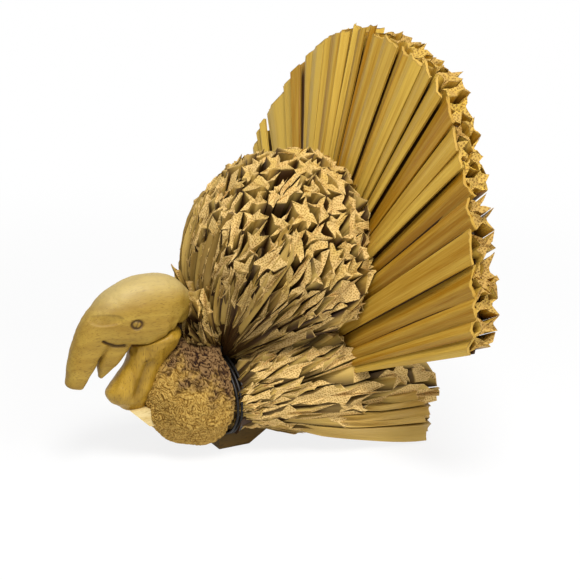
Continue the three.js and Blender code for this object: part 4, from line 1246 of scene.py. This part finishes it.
def carved_form(sections, level=False, steps=110, sides=72, square=(2.0, 2.0), dome=0.5):
    """Ovals along a curve in the middle plane, standing on the curve or kept level, with domed ends.
    A square above two fills the oval's corners, under the curve and over it:
    x and height are signed powers of cosine and sine."""
    path = smooth_path(sections, steps)
    along = unit(np.gradient(path[:, :2], axis=0))
    caps = np.linspace(0, 0.96, CAP_RINGS + 1)[1:]
    grow = np.concatenate([np.sqrt(1 - caps[::-1] ** 2), np.ones(steps), np.sqrt(1 - caps ** 2)])
    pick = np.pad(np.arange(steps), CAP_RINGS, mode="edge")
    push = np.concatenate([-caps[::-1], np.zeros(steps), caps]) * dome
    middle, high, wide = path[pick, :2], path[pick, 2], path[pick, 3]
    centre = middle + along[pick] * (push * high)[:, None]
    cosine, sine = on_circle(turns_of(sides)).T
    power = 2 / np.where(sine > 0, *square)
    lift = np.tile([1.0, 0.0], (len(pick), 1)) if level else along[pick][:, ::-1] * [-1, 1]
    x = (wide * grow)[:, None] * np.sign(cosine) * np.abs(cosine) ** power
    height = (high * grow)[:, None] * np.sign(sine) * np.abs(sine) ** power
    rings = np.concatenate([x[..., None], centre[:, None] + height[..., None] * lift[:, None]], -1)
    points = np.concatenate([rings.reshape(-1, 3), rings[[0, -1]].mean(1)])
    return points, outward(points, hubbed_grid(len(pick), sides))[0]


print("a carved form has", len(carved_form([(0, 0, 5, 5), (0, 20, 5, 5)])[0]), "points")

# %% Melting and smoothing
def read(items, field, width, kind):
    """A field of a mesh's items as an array with a row of the given width for each."""
    values = np.empty(len(items) * width, kind)
    items.foreach_get(field, values)
    return values.reshape(-1, width)


def melted(parts, voxel):
    """Overlapping closed forms as one skin of quads: a voxel remesh of all of them together."""
    first = np.cumsum([0] + [len(p) for p, _ in parts])
    points = np.concatenate([p for p, _ in parts]) * MM
    shifted = [group + start for start, (_, faces) in zip(first, parts) for group in faces]
    faces = [face for group in shifted for face in group.tolist()]
    mesh = bpy.data.meshes.new("rough_out")
    mesh.from_pydata(points.tolist(), [], faces)
    block = bpy.data.objects.new("rough_out", mesh)
    bpy.context.scene.collection.objects.link(block)
    remesh = block.modifiers.new("melt", "REMESH")
    remesh.mode = "VOXEL"
    remesh.voxel_size = voxel * MM
    skin = block.evaluated_get(bpy.context.evaluated_depsgraph_get()).to_mesh()
    points = read(skin.vertices, "co", 3, np.float32).astype(float) / MM
    quads = read(skin.loops, "vertex_index", 1, np.int32).reshape(-1, 4)
    edges = read(skin.edges, "vertices", 2, np.int32)
    bpy.data.objects.remove(block)
    print("melted into", len(quads), "quads")
    return points, quads, edges


def eased(points, edges, rounds):
    """Moves each point halfway to the mean of its neighbours, then a little back, which smooths without
    shrinking it."""
    count = np.bincount(edges.ravel(), minlength=len(points))[:, None]
    for step in [0.5, -0.52] * rounds:
        total = np.zeros_like(points)
        np.add.at(total, edges[:, 0], points[edges[:, 1]])
        np.add.at(total, edges[:, 1], points[edges[:, 0]])
        points = points + step * (total / count - points)
    return points


def roughed_out(parts, voxel, rounds):
    """Melted and eased forms, with the directions in which the skin faces: the cross products of the
    faces' diagonals, added up at their corners."""
    points, quads, edges = melted(parts, voxel)
    points = eased(points, edges, rounds)
    a, b, c, d = points[quads].transpose(1, 0, 2)
    total = np.zeros_like(points)
    np.add.at(total, quads.ravel(), np.repeat(np.cross(c - a, d - b), 4, axis=0))
    return points, quads, unit(total)


def bell(distance, width):
    """One at no distance, falling off as exp(-(distance / width)^2)."""
    return np.exp(-(distance / width) ** 2)


# %% Head
HEAD_SECTIONS = [  # y and z of the middle, half height, half width
    (-28.5, 88, 8, 8.5), (-33, 91, 13.5, 11.5), (-42, 93.3, 17.8, 14.2), (-55, 92, 19.7, 15),
    (-69, 89.3, 16.6, 13.5), (-80.5, 83.6, 11.5, 10.5), (-88.2, 73.5, 8.8, 8.4), (-92.8, 62, 7.4, 7.2),
    (-96.3, 52.8, 5.2, 5.4)]
BEAK_SECTIONS = [
    (-69.5, 77, 8.5, 9.5), (-72, 71.5, 7.2, 8.6), (-76.6, 63.5, 5.2, 6.6), (-79, 57.5, 2.6, 3.6),
    (-80.4, 54.4, 1.0, 2.0)]
HEAD_JOINT_Y, HEAD_JOINT_Z = -46, 74
HEAD_JOINT_SLOPE = np.tan(np.radians(18.5))
HEAD_JOINT_FRONT = -63.5
HEAD_SETTLE = 0.35  # how far the head's flat sits below the saw cut
EYE, EYE_RADII = (-62.2, 87.2), (3.7, 2.9)
MOUTH = [(-81, 78.5), (-77, 75.9), (-72.5, 74.6), (-68, 74.2)]
MOUTH_NEAR = 6  # mm from the mouth that are searched for it
GOUGE, GOUGE_RADII = (-79, 91.2), (9.5, 3.4)
EYE_DEPTH, NICK_DEPTH, MOUTH_DEPTH, GOUGE_DEPTH = 1.2, 0.5, 1.6, 1.3


def joint_height(y):
    """The height of the saw cut between head and wattle, which rises to the back."""
    return HEAD_JOINT_Z + (y - HEAD_JOINT_Y) * HEAD_JOINT_SLOPE


def head_arrays():
    """Skull and beak, with the skull flat along the saw cut, and eye, mouth and gouge pressed in along
    the skin's own directions. What faces up is painted paler, as light from above."""
    skull, skull_faces = carved_form(HEAD_SECTIONS, square=(3.6, 2.2))
    flat = np.maximum(skull[:, 2], joint_height(skull[:, 1]) - HEAD_SETTLE)
    skull[:, 2] = np.where(skull[:, 1] > HEAD_JOINT_FRONT, flat, skull[:, 2])
    beak = carved_form(BEAK_SECTIONS, steps=60, square=(3.0, 3.0), dome=0.2)
    points, quads, normals = roughed_out([(skull, skull_faces), beak], 0.5, 4)
    side = points[:, 1:]
    y, z = side.T
    sideways = smooth_step(np.abs(normals[:, 0]), 0.25, 0.5)
    ring = np.hypot(*((side - EYE) / EYE_RADII).T)
    eye_groove = bell(ring - 0.82, 0.26) * sideways
    nick = bell(y - EYE[0] - 0.5 * (z - EYE[1]), 0.5) * (ring < 0.62) * sideways
    line = smooth_path(MOUTH, 80)
    near = ((side > line.min(0) - MOUTH_NEAR) & (side < line.max(0) + MOUTH_NEAR)).all(1)
    gap = np.full(len(points), 99.0)
    gap[near] = np.linalg.norm(side[near, None] - line[None], axis=-1).min(1)
    mouth = bell(gap, 0.9) * smooth_step(np.abs(normals[:, 0]), 0.1, 0.3)
    scoop = np.clip(1 - (((side - GOUGE) / GOUGE_RADII) ** 2).sum(1), 0, 1) * sideways
    knife = 0.12 * ripple(points, 11, 71) + 0.03 * ripple(points, 3, 72)
    depth = EYE_DEPTH * eye_groove + NICK_DEPTH * nick + MOUTH_DEPTH * mouth
    depth = depth + GOUGE_DEPTH * np.sqrt(scoop) - knife
    carve = np.clip(0.95 * eye_groove + 0.7 * nick + 0.95 * mouth + 0.2 * scoop, 0, 1)
    # Painted light: faces that point up are marked paler, except the snood's tip and the gouge.
    paling = smooth_step(normals[:, 2], 0.05, 0.85) * smooth_step(y, -94, -70) * (1 - np.sqrt(scoop))
    return points - depth[:, None] * normals, [quads], {"carve": carve, "paling": paling}


points, faces, marks = head_arrays()
add_piece("carved_head", points, faces, head_wood, ["head"], marks, sharp=80)

# %% Wattle
WATTLE_SECTIONS = [
    (-45, 74, 15, 13.8), (-47.5, 68, 14.5, 12), (-52.5, 60, 12.6, 9.6), (-57.5, 52, 14, 9.6),
    (-62.2, 44.5, 15, 10), (-62.8, 38.5, 12, 8.2), (-60.5, 34.5, 8.5, 5.6)]
WATTLE_RISE = 2.0  # how far the wattle's rounded top goes into the head
WATTLE_KNOT = (-55.3, 62.7)
VALLEY_TOP, VALLEY_SLOPE = (-52, 66), 0.42
VALLEY_DEPTH, KNOT_DEPTH = 2.4, 0.5


def wattle_arrays():
    """The wattle's level ovals, melted, with a valley down each side, a knot and shallow knife marks."""
    points, faces = carved_form(WATTLE_SECTIONS, level=True, square=(2.1, 2.1))
    points[:, 2] = np.minimum(points[:, 2], joint_height(points[:, 1]) + WATTLE_RISE)
    points, quads, normals = roughed_out([(points, faces)], 0.55, 3)
    y, z = points[:, 1:].T
    sideways = smooth_step(np.abs(normals[:, 0]), 0.3, 0.6)
    line = VALLEY_TOP[0] - (VALLEY_TOP[1] - z) * VALLEY_SLOPE
    valley = bell(y - line, 3.4) * smooth_step(z, 38, 46) * (1 - smooth_step(z, 58, 66)) * sideways
    knot = bell(np.hypot(y - WATTLE_KNOT[0], z - WATTLE_KNOT[1]), 0.8) * sideways
    knife = 0.25 * np.abs(ripple(points, 14, 81)) + 0.04 * ripple(points, 3, 82)
    depth = VALLEY_DEPTH * valley + KNOT_DEPTH * knot + knife
    carve = np.clip(0.45 * valley + 0.8 * knot, 0, 1)
    return points - depth[:, None] * normals, [quads], {"carve": carve}


points, faces, marks = wattle_arrays()
add_piece("carved_wattle", points, faces, wattle_wood, ["wattle"], marks, sharp=80)

# %% [markdown]
# ## Wire
#
# The waist tie is black annealed wire, wound a little over two turns, with one end left standing up.
# A curve object with a bevel would do, but the route is a helix that the solid already follows,
# so a round profile is carried along the same points.

# %% Wire finish
SCALE_GRAIN = 0.8  # mm


def annealed_wire():
    """Noise sets the colour and the roughness together, as scale does."""
    material, tree, shader, place = new_finish("black_annealed_wire")
    scale = add(tree, "TexNoise", {"Vector": place, "Scale": per_mm(SCALE_GRAIN), "Detail": 2})
    colour = add(tree, "ValToRGB", {0: scale}, [(0.35, "#131110"), (0.7, "#2e2a27")])
    rough = add(tree, "MapRange", {0: scale, 3: 0.3, 4: 0.6})
    set_inputs(tree, shader, {"Base Color": colour, "Roughness": rough, "Metallic": 0.6})
    return material


# Dark oxide over steel: black, half shiny, with a fine grain of scale
black_wire = annealed_wire()
refinish("tail_wire", black_wire)

# %% Waist tie
TIE_RADII = (31.5, 24)
TIE_CENTRE_Z = 33
TIE_WIRE_RADIUS = 0.9
TIE_TURNS = 2.4
TIE_PITCH = 2.5
TIE_TAIL = 9
TIE_START = 0.42 * np.pi
TIE_FRONT = BREAST_BACK_Y + 0.35 + TIE_WIRE_RADIUS


def tube(path, radius, sides=12):
    """A round profile carried along a path: at each point it stands across the path's direction."""
    along = unit(np.gradient(path, axis=0))
    flat = unit(np.cross(along, [0, 1, 0]))
    other = np.cross(along, flat)
    cosine, sine = on_circle(turns_of(sides)).T[..., None]
    rings = path[:, None] + radius * (cosine * flat[:, None] + sine * other[:, None])
    return np.concatenate([rings.reshape(-1, 3), path[[0, -1]]]), hubbed_grid(len(path), sides)


def tie_path():
    """A helix on an oval round y, with a straight end that stands out from its first point."""
    turn = np.linspace(0, TIE_TURNS, 240)
    angle = TIE_START - 2 * np.pi * turn
    x, z = TIE_RADII[0] * np.cos(angle), TIE_CENTRE_Z + TIE_RADII[1] * np.sin(angle)
    helix = np.stack([x, TIE_FRONT + TIE_PITCH * turn, z], -1)
    out = unit(helix[0] - [0, helix[0, 1], TIE_CENTRE_Z])
    return np.concatenate([helix[0] + np.linspace(1, 0.08, 10)[:, None] * TIE_TAIL * out, helix])


points, faces = tube(tie_path(), TIE_WIRE_RADIUS)
add_piece("waist_wire", points, faces, black_wire, ["waist_tie"])

# %% [markdown]
# ## Floor and light
#
# The figure stands on a plain white floor under soft light. A wide lamp above the camera models the
# forms, a weaker one opens the shade on the right, and the world fills the rest.
# To a camera, a mirror or a glass the floor and world look white, and the floor a little greyer near the
# figure. Other rays see a floor that only bounces light.

# %% Floor
FLOOR_HALF = 4000
FLOOR_GREY = (0.2, 0.8)  # metres from the middle at which the floor begins to turn white, and is white


def seen_rays(tree):
    """One for rays that look at a surface: from the camera, off a gloss or through a glass."""
    rays = add(tree, "LightPath").node.outputs
    seen = add(tree, "Math", {0: rays["Is Camera Ray"], 1: rays["Is Glossy Ray"]}, operation="MAXIMUM")
    return add(tree, "Math", {0: seen, 1: rays["Is Transmission Ray"]}, operation="MAXIMUM")


# White paper: matt, and bright enough to pass for a studio backdrop
floor_finish, tree, shader, place = new_finish("white_paper_floor")
set_inputs(tree, shader, {"Base Color": linear("#eeeeee"), "Roughness": 0.9})
away = add(tree, "VectorMath", {0: place}, out="Value", operation="LENGTH")
white = add(tree, "MapRange", {0: away, 1: FLOOR_GREY[0], 2: FLOOR_GREY[1], 3: 0.84, 4: 1.0},
            interpolation_type="SMOOTHSTEP")
lift = add(tree, "Math", {0: seen_rays(tree), 1: white}, operation="MULTIPLY")
glow = add(tree, "Emission", {"Color": linear("#ffffff"), "Strength": 1.0})
mixed = add(tree, "MixShader", {0: lift, 1: shader.outputs[0], 2: glow})
set_inputs(tree, tree.nodes["Material Output"], {"Surface": mixed})

corners = FLOOR_HALF * MM * np.array([(-1, -1, 0), (1, -1, 0), (1, 1, 0), (-1, 1, 0)])
floor_mesh = bpy.data.meshes.new("floor")
floor_mesh.from_pydata(corners.tolist(), [], [(0, 1, 2, 3)])
floor_mesh.materials.append(floor_finish)
floor = bpy.data.objects.new("floor", floor_mesh)
bpy.context.scene.collection.objects.link(floor)
print("floor:", 2 * FLOOR_HALF, "mm wide")

# %% World and lamps
WORLD_FILL = 0.26
LAMPS = [  # name, distances back, right and up from the middle of the view, watts, width in metres
    ("key", (950, 100, 950), 18.8, 0.5), ("fill", (900, 800, 600), 6.5, 0.8)]

world = bpy.data.worlds.new("studio")
bpy.context.scene.world = world
world.use_nodes = True
tree = world.node_tree
strength = add(tree, "MapRange", {0: seen_rays(tree), 3: WORLD_FILL, 4: 1.0})
set_inputs(tree, tree.nodes["Background"], {"Color": linear("#ffffff"), "Strength": strength})

for name, away, power, width in LAMPS:
    place = LOOK_AT + np.array(away) @ [back, right, up]
    light = bpy.data.lights.new(name, "AREA")
    light.energy = power
    light.size = width
    holder = bpy.data.objects.new(name, light)
    holder.location = place * MM
    holder.rotation_euler = Vector(place - LOOK_AT).to_track_quat("Z", "Y").to_euler()
    bpy.context.scene.collection.objects.link(holder)
    print(f"{name} lamp: {power} W")
